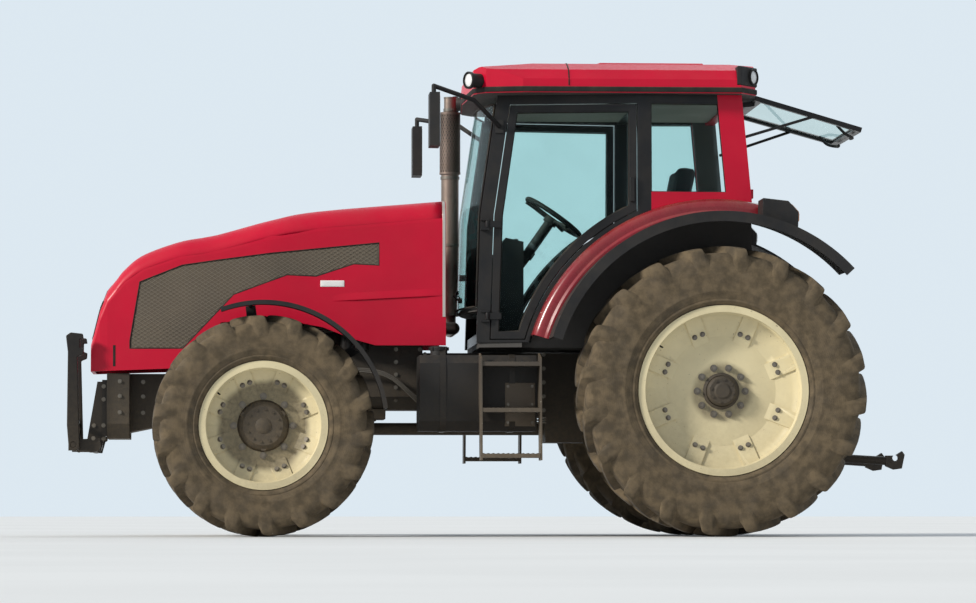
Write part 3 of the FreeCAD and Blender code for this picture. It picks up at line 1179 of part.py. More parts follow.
def front_linkage_frame():
    """Base of the front linkage: cross tube and cheek plates on the nose plate, and the fold pins."""
    parts = [drum(FOLD_X - 120, FOLD_Z, 45, (-340, 340)),
             block((FRAME_FRONT, FRAME_FRONT + 30), (-260, 260), (NOSE_PLATE_BOTTOM + 15, FRAME_TOP - 40))]
    for side in (-1, 1):
        ys = sorted((side * 200, side * 225))
        parts.append(side_prism([(FRAME_FRONT + 5, FRAME_TOP - 50), (FRAME_FRONT + 60, FRAME_TOP - 50),
                                 (FOLD_X - 80, FOLD_Z + 40), (FOLD_X - 80, FOLD_Z - 40),
                                 (FOLD_X - 160, FOLD_Z - 45), (FRAME_FRONT + 5, NOSE_PLATE_BOTTOM + 40)], ys))
        ys = sorted((side * 310, side * 338))
        parts.append(side_prism([(FOLD_X - 160, FOLD_Z - 38), (FOLD_X + 32, FOLD_Z - 35),
                                 (FOLD_X + 32, FOLD_Z + 32), (FOLD_X - 160, FOLD_Z + 40)], ys))
        ys = sorted((side * 310, side * FRONT_LINK_OUTER))
        parts.append(drum(FOLD_X, FOLD_Z, 16, ys))
    return fused(parts)


def front_links():
    """Folded lower links of the front linkage, with hook ends, joined by a cross bar."""
    top = FOLD_Z + FRONT_LINK_HEIGHT
    ys = (FRONT_LINK_INNER, FRONT_LINK_OUTER)
    arm = side_prism([(FOLD_X - 38, FOLD_Z - 25), (FOLD_X - 10, FOLD_Z - 40), (FOLD_X + 28, FOLD_Z - 25),
                      (FOLD_X + 40, FOLD_Z + 120), (FOLD_X + 36, top - 120), (FOLD_X + 48, top - 20),
                      (FOLD_X + 20, top), (FOLD_X - 55, top - 8), (FOLD_X - 60, top - 40),
                      (FOLD_X - 38, top - 42), (FOLD_X - 38, top - 92), (FOLD_X - 60, top - 100),
                      (FOLD_X - 58, top - 135), (FOLD_X - 22, top - 150)], ys)
    arm = arm.cut(drum(FOLD_X, FOLD_Z, 16 + SHAFT_FIT, (ys[0] - 10, ys[1] + 10)))
    bar = drum(FOLD_X + 4, FOLD_Z + 150, 20, (-FRONT_LINK_INNER - 10, FRONT_LINK_INNER + 10))
    return fused([arm, mirrored(arm), bar])


def build():
    pieces = {}
    add_wheels(pieces)
    pieces["transmission"] = transmission()
    pieces["rear_axle_housing"] = rear_axle_housing()
    pieces["engine_block"] = Part.makeCompound([engine(), cooling_pack()])
    pieces["front_frame"] = front_frame()
    pieces["front_axle"] = front_axle()
    pieces["drive_shaft"] = drive_shaft()
    pieces["knuckle_left"] = knuckle()
    pieces["knuckle_right"] = mirrored(pieces["knuckle_left"])
    pieces["steering_rod"] = steering_rod()
    pieces["front_fender_left"] = front_fender()
    pieces["front_fender_right"] = mirrored(pieces["front_fender_left"])
    hood, grilles, lamps = hood_set()
    pieces["hood"] = hood
    pieces["hood_stand"] = hood_stand()
    pieces["hood_grilles"] = grilles
    pieces["headlamps"] = lamps
    pieces["cab_floor"] = cab_floor()
    pieces["cab_frame"] = cab_frame()
    pieces["cab_rear_frame"] = cab_rear_frame()
    pieces["roof"] = roof()
    pieces["rear_lamp_housings"] = rear_lamp_housings()
    pieces["work_lamps"] = work_lamps()
    leaf, glass = door()
    pieces["door_left"] = leaf
    pieces["door_right"] = mirrored(leaf)
    pieces["door_glass_left"] = glass
    pieces["door_glass_right"] = mirrored(glass)
    pieces["windscreen"] = windscreen()
    pieces["side_windows"] = side_windows()
    frame, glass = rear_window_frame()
    pieces["rear_window_frame"] = frame
    pieces["rear_window_glass"] = glass
    pieces["rear_fenders"] = rear_fenders()
    pieces["fender_flares"] = fender_flares()
    pieces["tail_lamps"] = tail_lamps()
    pieces["fuel_tank"] = fuel_tank()
    pieces["toolbox"] = toolbox()
    pieces["cab_steps"] = cab_steps()
    pieces["exhaust"] = exhaust()
    pieces["mirrors"] = mirrors()
    pieces["seat_base"] = seat_base()
    pieces["seat_cushion"] = seat_cushion()
    pieces["seat_backrest"] = seat_backrest()
    pieces["steering_column"] = steering_column()
    pieces["tow_hitch"] = tow_hitch()
    pieces["lower_links"] = lower_links()
    pieces["lift_housing"] = lift_housing()
    pieces["lift_arms"] = lift_arms()
    pieces["lift_rods"] = lift_rods()
    pieces["front_linkage_frame"] = front_linkage_frame()
    pieces["front_links"] = front_links()
    return pieces


def export(pieces):
    """Centre the tractor over the origin, stand it on the ground and write one file for each piece."""
    box = Part.makeCompound(list(pieces.values())).BoundBox
    shift = vec(-(box.XMin + box.XMax) / 2, 0, -box.ZMin)
    os.makedirs("parts", exist_ok=True)
    for name, shape in pieces.items():
        shape.translate(shift)
        shape.exportStep("parts/" + name + ".step")
    return shift


PIECES = build()
SHIFT = export(PIECES)
print("pieces", len(PIECES), "moved by", SHIFT)
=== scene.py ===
import math

import bmesh
import bpy
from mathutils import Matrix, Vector
from mathutils.bvhtree import BVHTree


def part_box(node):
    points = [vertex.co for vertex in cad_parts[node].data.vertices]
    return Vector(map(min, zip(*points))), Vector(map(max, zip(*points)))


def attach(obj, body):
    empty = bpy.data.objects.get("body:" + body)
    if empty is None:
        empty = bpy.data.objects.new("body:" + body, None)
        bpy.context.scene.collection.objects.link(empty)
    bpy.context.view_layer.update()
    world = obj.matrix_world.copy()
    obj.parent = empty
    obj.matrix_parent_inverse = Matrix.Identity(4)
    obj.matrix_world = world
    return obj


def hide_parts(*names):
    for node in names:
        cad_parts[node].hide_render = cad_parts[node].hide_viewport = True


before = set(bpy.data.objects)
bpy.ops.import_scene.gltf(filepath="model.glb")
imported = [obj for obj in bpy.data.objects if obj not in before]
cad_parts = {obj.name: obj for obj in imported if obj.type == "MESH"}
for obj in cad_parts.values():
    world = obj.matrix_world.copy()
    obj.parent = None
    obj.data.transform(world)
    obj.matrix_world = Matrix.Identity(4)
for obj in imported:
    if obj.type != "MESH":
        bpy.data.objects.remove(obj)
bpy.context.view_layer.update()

# Places are given in the construction's millimetres: X from the rear axle, Y to the left, Z from the
# plane under the tyres. ORIGIN is that frame's place in the row frame, in metres.
ORIGIN = Vector((-1.370, 0.0, -0.00123))
# Middles of the left wheels.
MIDDLES = {"rear": (0.0, 950.0, 875.0), "front": (2748.0, 940.0, 665.0)}


def at(x, y, z):
    return Vector((x, y, z)) / 1000 + ORIGIN


# Points nearer than this, in metres, are joined.
WELD = 0.00002


# ---- materials ----

class Tree:
    """Node tree, with short ways to make and join its nodes."""

    def __init__(self, tree):
        self.tree = tree

    def plug(self, socket, value):
        if isinstance(value, bpy.types.NodeSocket):
            self.tree.links.new(value, socket)
        elif isinstance(value, tuple) and len(value) == 3 and socket.type == "RGBA":
            socket.default_value = (*value, 1.0)
        else:
            socket.default_value = value

    def make(self, kind, inputs=(), **settings):
        """New node. Its inputs come as a row, or by name or number."""
        node = self.tree.nodes.new(kind)
        for key, value in settings.items():
            setattr(node, key, value)
        for key, value in inputs.items() if isinstance(inputs, dict) else enumerate(inputs):
            self.plug(node.inputs[key], value)
        return node

    def math(self, operation, *values, clamp=False):
        return self.make("ShaderNodeMath", values, operation=operation, use_clamp=clamp).outputs[0]

    def mix_shaders(self, factor, first, second):
        return self.make("ShaderNodeMixShader", [factor, first.outputs[0], second.outputs[0]])


class Nodes(Tree):
    """Node tree of one material with a Principled shader."""

    def __init__(self, name):
        self.material = bpy.data.materials.new(name)
        self.material.use_nodes = True
        super().__init__(self.material.node_tree)
        self.shader = self.tree.nodes["Principled BSDF"]
        self.coords = self.make("ShaderNodeTexCoord").outputs["Object"]

    def surface(self, **values):
        """Inputs of the shader by name, with _ for a space."""
        for key, value in values.items():
            self.plug(self.shader.inputs[key.replace("_", " ")], value)

    def noise(self, scale, detail=3.0, rough=0.55):
        inputs = {"Vector": self.coords, "Scale": scale, "Detail": detail, "Roughness": rough}
        return self.make("ShaderNodeTexNoise", inputs).outputs["Fac"]

    def ramp(self, value, low, high, start=0.0, end=1.0):
        inputs = {"Value": value, "From Min": low, "From Max": high, "To Min": start, "To Max": end}
        return self.make("ShaderNodeMapRange", inputs, interpolation_type="SMOOTHSTEP").outputs[0]

    def mix(self, factor, a, b):
        return self.make("ShaderNodeMix", {0: factor, 6: a, 7: b}, data_type="RGBA").outputs[2]

    def tinted(self, scale, detail, low, high):
        """Soft blotches between two colours."""
        return self.mix(self.ramp(self.noise(scale, detail), 0.3, 0.7), low, high)

    def axis(self, letter):
        return self.make("ShaderNodeSeparateXYZ", [self.coords]).outputs["XYZ".index(letter)]

    def radius(self, x, z):
        """Distance from a line across the tractor."""
        sides = [self.math("SUBTRACT", self.axis(letter), value) for letter, value in (("X", x), ("Z", z))]
        return self.math("SQRT", self.math("ADD", *[self.math("MULTIPLY", s, s) for s in sides]))

    def upward(self):
        normal = self.make("ShaderNodeNewGeometry").outputs["Normal"]
        return self.math("MAXIMUM", self.make("ShaderNodeSeparateXYZ", [normal]).outputs[2], 0.0)

    def bump(self, height, distance):
        node = self.make("ShaderNodeBump", {"Height": height, "Distance": distance, "Strength": 1.0})
        self.surface(Normal=node.outputs[0])


DUST = (0.235, 0.175, 0.105)
# Mud-brown tone of the wheel discs' middles: partly mud, partly painted shade of the dish.
DISH_SHADE_AND_MUD = (0.105, 0.085, 0.055)


def scaled(colour, share):
    return tuple(min(1.0, c * share) for c in colour)


def coated(name, colour, rough=0.4, metal=0.0, dust=0.2, low=0.0, vary=0.10, coat=0.0, grain=0.0,
           grain_scale=260.0, wear=None, hub=None):
    """Paint, plastic or metal with colour variation, dust on upward faces, dirt low down and a fine grain.

    `hub` is a kind of wheel, the radius in metres inside which its disc is darkened to a mud-brown tone, and
    the share of that darkening: partly mud, partly painted shade of the dished disc.
    """
    n = Nodes(name)
    broad = n.noise(2.3, 4.0)
    fine = n.noise(38.0, 5.0, 0.65)
    shown = n.mix(n.ramp(broad, 0.3, 0.7), scaled(colour, 1 - vary), scaled(colour, 1 + vary))
    if wear:
        shown = n.mix(n.ramp(n.noise(55.0, 6.0, 0.7), 0.64, 0.70), shown, wear)
    patches = n.ramp(n.noise(5.5, 6.0, 0.7), 0.30, 0.75)
    settled = n.math("MULTIPLY_ADD", n.upward(), 0.75, 0.25)
    amount = n.math("MULTIPLY", n.math("MULTIPLY", settled, patches), dust * 1.6, clamp=True)
    if low:
        height = n.ramp(n.axis("Z"), 0.15, 1.45, 1.0, 0.0)
        uneven = n.math("MULTIPLY", height, n.ramp(fine, 0.25, 0.75, 0.55, 1.0))
        amount = n.math("MAXIMUM", amount, n.math("MULTIPLY", uneven, low, clamp=True))
    # Painted shade: inside the radius the disc is darkened to a mud-brown tone, partly mud and partly the
    # shadow in the wheel's dish.
    if hub:
        kind, reach, share = hub
        middle = at(*MIDDLES[kind])
        sway = n.math("MULTIPLY", n.math("SUBTRACT", broad, 0.5), 0.10)
        ragged = n.math("ADD", n.radius(middle.x, middle.z), sway)
        inside = n.ramp(ragged, reach - 0.02, reach + 0.03, 1.0, 0.0)
        mud_and_shade = n.math("MULTIPLY", inside, n.ramp(fine, 0.2, 0.8, share, share * 0.7))
        shown = n.mix(mud_and_shade, shown, DISH_SHADE_AND_MUD)
    dull = n.ramp(fine, 0.2, 0.8, rough * 0.85, min(1.0, rough * 1.18))
    n.surface(Base_Color=n.mix(amount, shown, DUST), Metallic=metal,
              Roughness=n.math("MAXIMUM", dull, n.math("MULTIPLY", amount, 0.9)))
    if coat:
        n.surface(Coat_Weight=coat, Coat_Roughness=0.2)
    if not metal:
        n.surface(Specular_IOR_Level=0.22)
    if grain:
        n.bump(n.noise(grain_scale, 3.0), grain)
    return n.material


def perforated(name, colour, hole_shade, pitch, dust=0.35):
    """Sheet with rows of small round holes, staggered. The holes are painted dark: painted shade of the space
    behind them.
    """
    n = Nodes(name)
    waves = [n.math("COSINE", n.math("MULTIPLY", n.axis(letter), 2 * math.pi / pitch)) for letter in "XZ"]
    open_part = n.ramp(n.math("ABSOLUTE", n.math("MULTIPLY", *waves)), 0.42, 0.60)
    tint = n.tinted(3.1, 5.0, scaled(colour, 0.86), scaled(colour, 1.14))
    patches = n.math("MULTIPLY", n.ramp(n.noise(4.2, 6.0, 0.7), 0.3, 0.75), dust, clamp=True)
    # The holes get a dark colour: painted shade, not openings.
    n.surface(Base_Color=n.mix(open_part, n.mix(patches, tint, DUST), hole_shade),
              Roughness=n.ramp(open_part, 0.0, 1.0, 0.55, 0.9))
    n.bump(n.math("SUBTRACT", 1.0, open_part), 0.0012)
    return n.material


def rubber(name, tread):
    """Tyre rubber about the wheel's own middle: dusty sidewall, darker lugs with soil in the grooves."""
    n = Nodes(name)
    radius = n.radius(0.0, 0.0)
    fine = n.noise(70.0, 5.0, 0.7)
    dark = n.mix(n.ramp(fine, 0.3, 0.7), (0.020, 0.018, 0.016), (0.045, 0.039, 0.033))
    soil = n.tinted(16.0, 5.0, (0.072, 0.052, 0.028), (0.150, 0.108, 0.060))
    side = n.ramp(n.noise(7.0, 6.0, 0.72), 0.22, 0.66, 0.62, 0.95)
    lugs = n.ramp(radius, tread - 0.012, tread - 0.002)
    worn = n.math("MULTIPLY", lugs, n.ramp(fine, 0.25, 0.6, 0.95, 0.45))
    cover = n.math("SUBTRACT", side, n.math("MULTIPLY", worn, 0.75), clamp=True)
    n.surface(Base_Color=n.mix(cover, dark, soil), Roughness=n.ramp(cover, 0.0, 1.0, 0.62, 0.95))
    rings = n.math("MULTIPLY", n.math("SINE", n.math("MULTIPLY", radius, 520.0)), 0.06)
    n.bump(n.math("ADD", rings, n.noise(240.0, 4.0)), 0.0016)
    return n.material


def clear_glass(name, tint, shade):
    """Tinted pane: seen through straight on, mirrors at a glance, and lets lamps through."""
    n = Nodes(name)
    smear = n.ramp(n.noise(6.0, 5.0, 0.7), 0.45, 0.8, 0.01, 0.06)
    patchy = n.tinted(2.0, 3.0, tint, scaled(tint, 0.975))
    n.surface(Base_Color=patchy, Roughness=smear, Transmission_Weight=1.0, IOR=1.08)
    image = n.make("ShaderNodeBsdfGlossy", {"Roughness": smear})
    outside = n.math("SUBTRACT", 1.0, n.make("ShaderNodeNewGeometry").outputs["Backfacing"])
    glance = n.math("MULTIPLY", n.make("ShaderNodeFresnel", {"IOR": 1.12}).outputs[0], outside)
    passing = n.make("ShaderNodeBsdfTransparent", {"Color": shade})
    shadow = n.make("ShaderNodeLightPath").outputs["Is Shadow Ray"]
    pane = n.make("ShaderNodeBsdfTransparent", {"Color": patchy})
    for factor, other in ((glance, image), (0.03, n.shader), (shadow, passing)):
        pane = n.mix_shaders(factor, pane, other)
    n.plug(n.tree.nodes["Material Output"].inputs["Surface"], pane.outputs[0])
    return n.material


def lens(name, colour, rough=0.12, ribs=900.0):
    """Lamp lens: glossy plastic over a ribbed optic."""
    n = Nodes(name)
    rib = n.math("SINE", n.math("MULTIPLY", n.axis("Z"), ribs))
    n.surface(Base_Color=n.mix(n.ramp(rib, -0.6, 0.6), scaled(colour, 0.78), colour), Coat_Weight=0.6,
              Roughness=n.ramp(n.noise(30.0), 0.3, 0.7, rough, rough * 1.8))
    n.bump(rib, 0.0006)
    return n.material


def cloth(name, colour):
    """Woven seat fabric."""
    n = Nodes(name)
    waves = [n.math("SINE", n.math("MULTIPLY", n.axis(letter), 2600.0)) for letter in "YZ"]
    threads = n.math("MULTIPLY", *waves)
    base = n.tinted(11.0, 5.0, scaled(colour, 0.8), scaled(colour, 1.25))
    n.surface(Base_Color=n.mix(n.ramp(threads, -0.5, 0.5), base, scaled(colour, 0.6)), Sheen_Weight=0.25,
              Roughness=n.ramp(n.noise(60.0), 0.3, 0.7, 0.8, 0.95))
    n.bump(threads, 0.0008)
    return n.material


RED = (0.52, 0.0, 0.024)
RIM = {"colour": (0.70, 0.61, 0.38), "rough": 0.45, "dust": 0.25, "grain": 0.0002,
       "wear": (0.30, 0.24, 0.16)}
BLACK = (0.014, 0.013, 0.013)
M = {
    "red": coated("red_paint", RED, 0.42, dust=0.05, vary=0.06, coat=0.12, grain=0.00012),
    # Rear fender band: a darker copy of the hood's red, painted shade with some dirt, besides its dust.
    "fender_red_shaded": coated("fender_paint_shaded", (0.23, 0.006, 0.016), 0.28, dust=0.22, low=0.10, vary=0.12,
                         coat=0.5),
    "cream": coated("cream_paint", low=0.30, **RIM),
    # The rim discs are darkened near the middle: partly mud, partly painted shade of the dish.
    "rim_rear": coated("rim_paint_rear", low=0.34, hub=("rear", 0.17, 0.75), **RIM),
    "rim_front": coated("rim_paint_front", low=0.34, hub=("front", 0.265, 0.92), **RIM),
    "cast": coated("cast_paint", (0.032, 0.029, 0.026), 0.62, dust=0.32, low=0.50, grain=0.0010,
                   grain_scale=120.0),
    "steel": coated("bare_steel", (0.46, 0.44, 0.41), 0.33, metal=0.9, dust=0.25, low=0.25, grain=0.0001),
    "black": coated("black_paint", BLACK, 0.42, dust=0.14, low=0.24, grain=0.0003, vary=0.2),
    "frame": coated("cab_paint", (0.011, 0.011, 0.012), 0.33, dust=0.10, grain=0.0002, vary=0.15),
    "plastic": coated("black_plastic", (0.016, 0.016, 0.017), 0.60, dust=0.14, low=0.20, grain=0.0005,
                      grain_scale=420.0, vary=0.2),
    "trim": coated("inner_trim", (0.075, 0.072, 0.068), 0.70, dust=0.12, grain=0.0004, grain_scale=380.0),
    "seal": coated("rubber_seal", (0.012, 0.012, 0.012), 0.75, dust=0.20, grain=0.0003),
    "bolt": coated("bolt_steel", (0.16, 0.145, 0.125), 0.45, metal=0.7, dust=0.30, low=0.5, grain=0.0002),
    "worn": coated("step_paint", (0.060, 0.052, 0.045), 0.5, dust=0.55, low=0.55, grain=0.0004,
                   wear=(0.30, 0.27, 0.23)),
    "fins": coated("cooler_core", (0.085, 0.078, 0.070), 0.5, metal=0.5, dust=0.5),
    "panel": coated("side_panel", (0.135, 0.108, 0.082), 0.55, dust=0.4, low=0.3, vary=0.2, grain=0.0004),
    "stack": coated("exhaust_steel", (0.20, 0.155, 0.13), 0.50, metal=0.75, dust=0.25, vary=0.30,
                    grain=0.0004,
                    wear=(0.16, 0.07, 0.035)),
    "chrome": coated("rod_chrome", (0.72, 0.72, 0.72), 0.12, metal=1.0, dust=0.05),
    "mirror": coated("mirror_glass", (0.80, 0.83, 0.85), 0.04, metal=1.0, dust=0.02, vary=0.03),
    "white": coated("white_bar", (0.80, 0.79, 0.76), 0.35, dust=0.15),
    "mesh": perforated("hood_mesh", (0.140, 0.110, 0.078), (0.040, 0.034, 0.026), 0.011),
    "wire": coated("mesh_wire", (0.200, 0.165, 0.120), 0.45, metal=0.3, dust=0.3),
    # Pale strip colour: painted highlight on the hood's rear edge.
    "edge_highlight": coated("edge_highlight_strip", (0.52, 0.47, 0.43), 0.35, metal=0.6, dust=0.15),
    "liner": coated("headliner", (0.30, 0.27, 0.23), 0.85, dust=0.10, grain=0.0004),
    "rubber_rear": rubber("tyre_rubber_rear", 0.875),
    "rubber_front": rubber("tyre_rubber_front", 0.665),
    "glass": clear_glass("cab_glass", (0.845, 0.945, 0.935), (0.85, 0.945, 0.935)),
    "lens_clear": lens("lens_clear", (0.86, 0.87, 0.86)),
    "lamp_body": lens("lamp_reflector", (0.34, 0.35, 0.36), 0.2, 500.0),
    "lens_red": lens("lens_red", (0.42, 0.010, 0.012)),
    "lens_amber": lens("lens_amber", (0.75, 0.22, 0.015)),
    "fabric": cloth("seat_fabric", (0.040, 0.040, 0.046)),
}

NODE_MATERIALS = {
    "red": ("hood", "cab_rear_frame", "roof"),
    "fender_red_shaded": ("rear_fenders",),
    "rim_rear": ("rim_rear_left", "rim_rear_right"),
    "rim_front": ("rim_front_left", "rim_front_right"),
    "cast": ("hub_rear_left", "hub_rear_right", "hub_front_left", "hub_front_right", "transmission",
             "rear_axle_housing", "engine_block", "front_frame", "front_axle", "knuckle_left",
             "knuckle_right",
             "lift_housing", "drive_shaft"),
    "steel": ("steering_rod",),
    "mesh": ("hood_grilles",),
    "lamp_body": ("headlamps",),
    "frame": ("cab_frame", "door_left", "door_right", "rear_window_frame"),
    "black": ("front_linkage_frame", "front_links", "lower_links", "lift_arms", "lift_rods", "hood_stand",
              "tow_hitch"),
    "worn": ("cab_steps",),
    "plastic": ("fender_flares", "front_fender_left", "front_fender_right", "rear_lamp_housings", "mirrors",
                "fuel_tank", "toolbox", "work_lamps", "tail_lamps", "steering_column"),
    "trim": ("cab_floor", "seat_base"),
    "glass": ("door_glass_left", "door_glass_right", "windscreen", "side_windows", "rear_window_glass"),
    "stack": ("exhaust",),
    "fabric": ("seat_cushion", "seat_backrest"),
    "rubber_rear": ("tyre_rear_left", "tyre_rear_right"),
    "rubber_front": ("tyre_front_left", "tyre_front_right"),
}
# Nodes that are lined with trim where they face the driver's place.
LINED = ("cab_rear_frame", "roof")
# Nodes whose edges get a small rounding, with its width in metres.
ROUNDED = {"cab_frame": 0.006, "cab_rear_frame": 0.012, "roof": 0.016, "door_left": 0.005,
           "door_right": 0.005,
           "transmission": 0.012, "engine_block": 0.014, "front_frame": 0.010, "front_linkage_frame": 0.004,
           "front_links": 0.007, "lower_links": 0.004, "tow_hitch": 0.004, "cab_steps": 0.003,
           "fuel_tank": 0.012,
           "toolbox": 0.012, "mirrors": 0.010, "seat_base": 0.010, "rear_fenders": 0.003,
           "front_fender_left": 0.003, "front_fender_right": 0.003, "tail_lamps": 0.006,
           "rear_lamp_housings": 0.008, "lift_housing": 0.010, "knuckle_left": 0.005, "knuckle_right": 0.005,
           "steering_column": 0.008, "hood_stand": 0.003}


def rounded(obj, width, segments, degrees):
    """Bevel on the edges that are sharper than an angle."""
    bevel = obj.modifiers.new("bevel", "BEVEL")
    bevel.width = width
    bevel.segments = segments
    bevel.limit_method = "ANGLE"
    bevel.angle_limit = math.radians(degrees)


def dress_nodes():
    for key, names in NODE_MATERIALS.items():
        for name in names:
            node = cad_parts[name]
            node.data.materials.clear()
            node.data.materials.append(M[key])
            if name in LINED:
                node.data.materials.append(M["trim"])
                for face in node.data.polygons:
                    y = face.center.y
                    inward = abs(y) > 0.4 and face.normal.y * y < -0.2 * abs(y)
                    below = name == "roof" and face.normal.z < -0.5
                    face.material_index = 1 if inward or below else 0
            weld = node.modifiers.new("weld", "WELD")
            weld.merge_threshold = WELD
            if name in ROUNDED:
                rounded(node, ROUNDED[name], 3, 38)


# ---- mesh building ----

def spread(count, start=0.0):
    return [start + 2 * math.pi * k / count for k in range(count)]


def square_to(axis):
    """An axis and two directions square to it, all of length one."""
    axis = Vector(axis).normalized()
    side = axis.orthogonal().normalized()
    return axis, side, axis.cross(side)


def hoop(low, high, start, end):
    """Section of a flat ring for Shape.turned: its two radii, then its two places along the axis."""
    return [(low, start), (high, start), (high, end), (low, end), (low, start)]


class Shape:
    """Mesh in the making, in metres."""

    def __init__(self):
        self.verts = []
        self.faces = []

    def add(self, verts, faces):
        first = len(self.verts)
        self.verts += [Vector(v) for v in verts]
        self.faces += [tuple(first + i for i in f) for f in faces]

    def grid(self, rows, closed=False, ring=False):
        """Quads between rows of points. `ring` joins the last row to the first, `closed` each row's ends."""
        width = len(rows[0])
        faces = []
        for i in range(len(rows) if ring else len(rows) - 1):
            for j in range(width if closed else width - 1):
                k, m = (i + 1) % len(rows), (j + 1) % width
                faces.append((i * width + j, i * width + m, k * width + m, k * width + j))
        self.add([p for row in rows for p in row], faces)

    def prism(self, outline, run):
        """Closed outline of points drawn out by a vector."""
        count = len(outline)
        run = Vector(run)
        faces = [tuple(reversed(range(count))), tuple(range(count, 2 * count))]
        faces += [(i, (i + 1) % count, (i + 1) % count + count, i + count) for i in range(count)]
        self.add(list(outline) + [Vector(p) + run for p in outline], faces)

    def block(self, low, high):
        (x0, y0, z0), (x1, y1, z1) = low, high
        self.prism([at(x0, y0, z0), at(x1, y0, z0), at(x1, y1, z0), at(x0, y1, z0)], (0, 0, (z1 - z0) / 1000))

    def turned(self, profile, middle, axis, steps=48):
        """Surface of revolution of (radius, along) points in metres about an axis."""
        axis, side, up = square_to(axis)
        rows = []
        for a in spread(steps):
            out = side * math.cos(a) + up * math.sin(a)
            rows.append([Vector(middle) + out * r + axis * t for r, t in profile])
        self.grid(rows, ring=True)

    def tube(self, points, radius, sides=14, closed=False, plane=None):
        """Round bar or hose along points. `plane` keeps the section upright on a closed line."""
        points = [Vector(p) for p in points]
        rows = []
        before = plane
        count = len(points)
        for i, p in enumerate(points):
            if closed:
                ahead = (points[(i + 1) % count] - points[i - 1]).normalized()
            else:
                ahead = (points[min(i + 1, count - 1)] - points[max(i - 1, 0)]).normalized()
            if before is None:
                before = ahead.orthogonal().normalized()
            before = plane or before
            before = (before - ahead * before.dot(ahead)).normalized()
            other = ahead.cross(before)
            rows.append([p + (before * math.cos(a) + other * math.sin(a)) * radius for a in spread(sides)])
        first = len(self.verts)
        self.grid(rows, closed=True, ring=closed)
        if not closed:
            self.faces.append(tuple(first + k for k in reversed(range(sides))))
            self.faces.append(tuple(first + (len(rows) - 1) * sides + k for k in range(sides)))

    def pipe(self, radius, sides, *places):
        """Bent pipe through places in millimetres."""
        self.tube(bend(line(*places)), radius, sides)

    def bolt(self, middle, axis, size=0.011, height=0.009):
        """Hexagon head on a washer."""
        axis, side, up = square_to(axis)
        self.turned([(0.0, 0.003), (size * 1.35, 0.003), (size * 1.35, -0.002)], middle, axis, 16)
        ring = []
        for a in (k * math.pi / 3 for k in range(6)):
            ring.append(middle + (side * math.cos(a) + up * math.sin(a)) * size + axis * 0.002)
        self.prism(ring, axis * height)

    def made(self, name, material, body="chassis", slot=None, smooth=40, bevel=0.0, segments=2, mirror=None,
             origin=None):
        """The finished object, riding on its body. `mirror` names the body of a right-hand twin."""
        objects = []
        centre = Vector(origin or (0, 0, 0))
        for twin, on in ((False, body), (True, mirror)) if mirror else ((False, body),):
            flip = Vector((1, -1 if twin else 1, 1))
            faces = [f[::-1] for f in self.faces] if twin else self.faces
            mesh = bpy.data.meshes.new(name)
            mesh.from_pydata([(v - centre) * flip for v in self.verts], [], faces)
            bm = bmesh.new()
            bm.from_mesh(mesh)
            bmesh.ops.remove_doubles(bm, verts=bm.verts, dist=WELD)
            bmesh.ops.recalc_face_normals(bm, faces=bm.faces)
            bm.to_mesh(mesh)
            bm.free()
            for polygon in mesh.polygons:
                polygon.use_smooth = True
            mesh.set_sharp_from_angle(angle=math.radians(smooth))
            mesh.materials.append(M[material])
            side = ("_right" if twin else "_left") if mirror else ""
            obj = bpy.data.objects.new(name + side, mesh)
            obj.location = centre * flip
            bpy.context.scene.collection.objects.link(obj)
            if bevel:
                rounded(obj, bevel, segments, 35)
            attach(obj, on)
            objects.append(obj)
        return objects


def around(middle, radius, angle, y=0.0):
    """Point about a cross axis: angle from the forward direction upwards, lengths in metres."""
    return Vector(middle) + Vector((radius * math.cos(angle), y, radius * math.sin(angle)))


# ---- wheels ----

# Rear and front tyre. Section columns: radius and distance from the middle plane, in mm, from the bead
# to the crown. Lug columns: distance and radius of the foot, then of the top.
TYRES = {
    "rear": {"lugs": 20, "slant": 0.78, "half": 260.0, "body": "wheel_rear", "rubber": "rubber_rear",
             "section": ((484, 190), (486, 200), (496, 207), (508, 209), (514, 214), (520, 226), (532, 238),
                         (537, 244), (544, 245), (549, 243), (556, 247), (590, 254), (594, 256), (603, 256),
                         (607, 255), (650, 260), (705, 262), (750, 259), (785, 251), (808, 239), (821, 222),
                         (827, 195), (831, 120), (833, 40)),
             "stations": ((-12, 829, -8, 862, 0.55), (4, 829, 2, 873, 0.80), (40, 829, 38, 874, 0.9),
                          (90, 828, 88, 873, 0.95), (150, 825, 148, 870, 1.0), (205, 817, 205, 866, 1.05),
                          (236, 802, 244, 861, 1.12), (246, 786, 257, 855, 1.15), (253, 766, 266, 836, 1.12),
                          (257, 745, 269, 800, 1.02), (259, 722, 267, 760, 0.85), (260, 700, 263, 715, 0.6))},
    "front": {"lugs": 18, "slant": 0.78, "half": 210.0, "body": "wheel_front", "rubber": "rubber_front",
              "section": ((357, 145), (359, 154), (369, 160), (381, 162), (387, 168), (393, 179), (404, 189),
                          (409, 194), (415, 195), (420, 193), (427, 197), (450, 203), (454, 205), (461, 205),
                          (465, 204), (500, 209), (540, 211), (575, 207), (598, 197), (611, 182), (617, 155),
                          (621, 100), (623, 35)),
              "stations": ((-10, 619, -6, 652, 0.55), (4, 619, 2, 663, 0.80), (34, 619, 32, 664, 0.9),
                           (80, 618, 78, 663, 0.95), (126, 615, 125, 661, 1.0), (168, 608, 170, 657, 1.05),
                           (192, 596, 200, 652, 1.12), (199, 583, 208, 646, 1.15), (205, 566, 215, 630, 1.12),
                           (208, 548, 217, 600, 1.02), (209, 532, 216, 566, 0.85),
                           (209, 516, 212, 530, 0.6))},
}
LUG_TOP = 58.0
LUG_BASE = 88.0


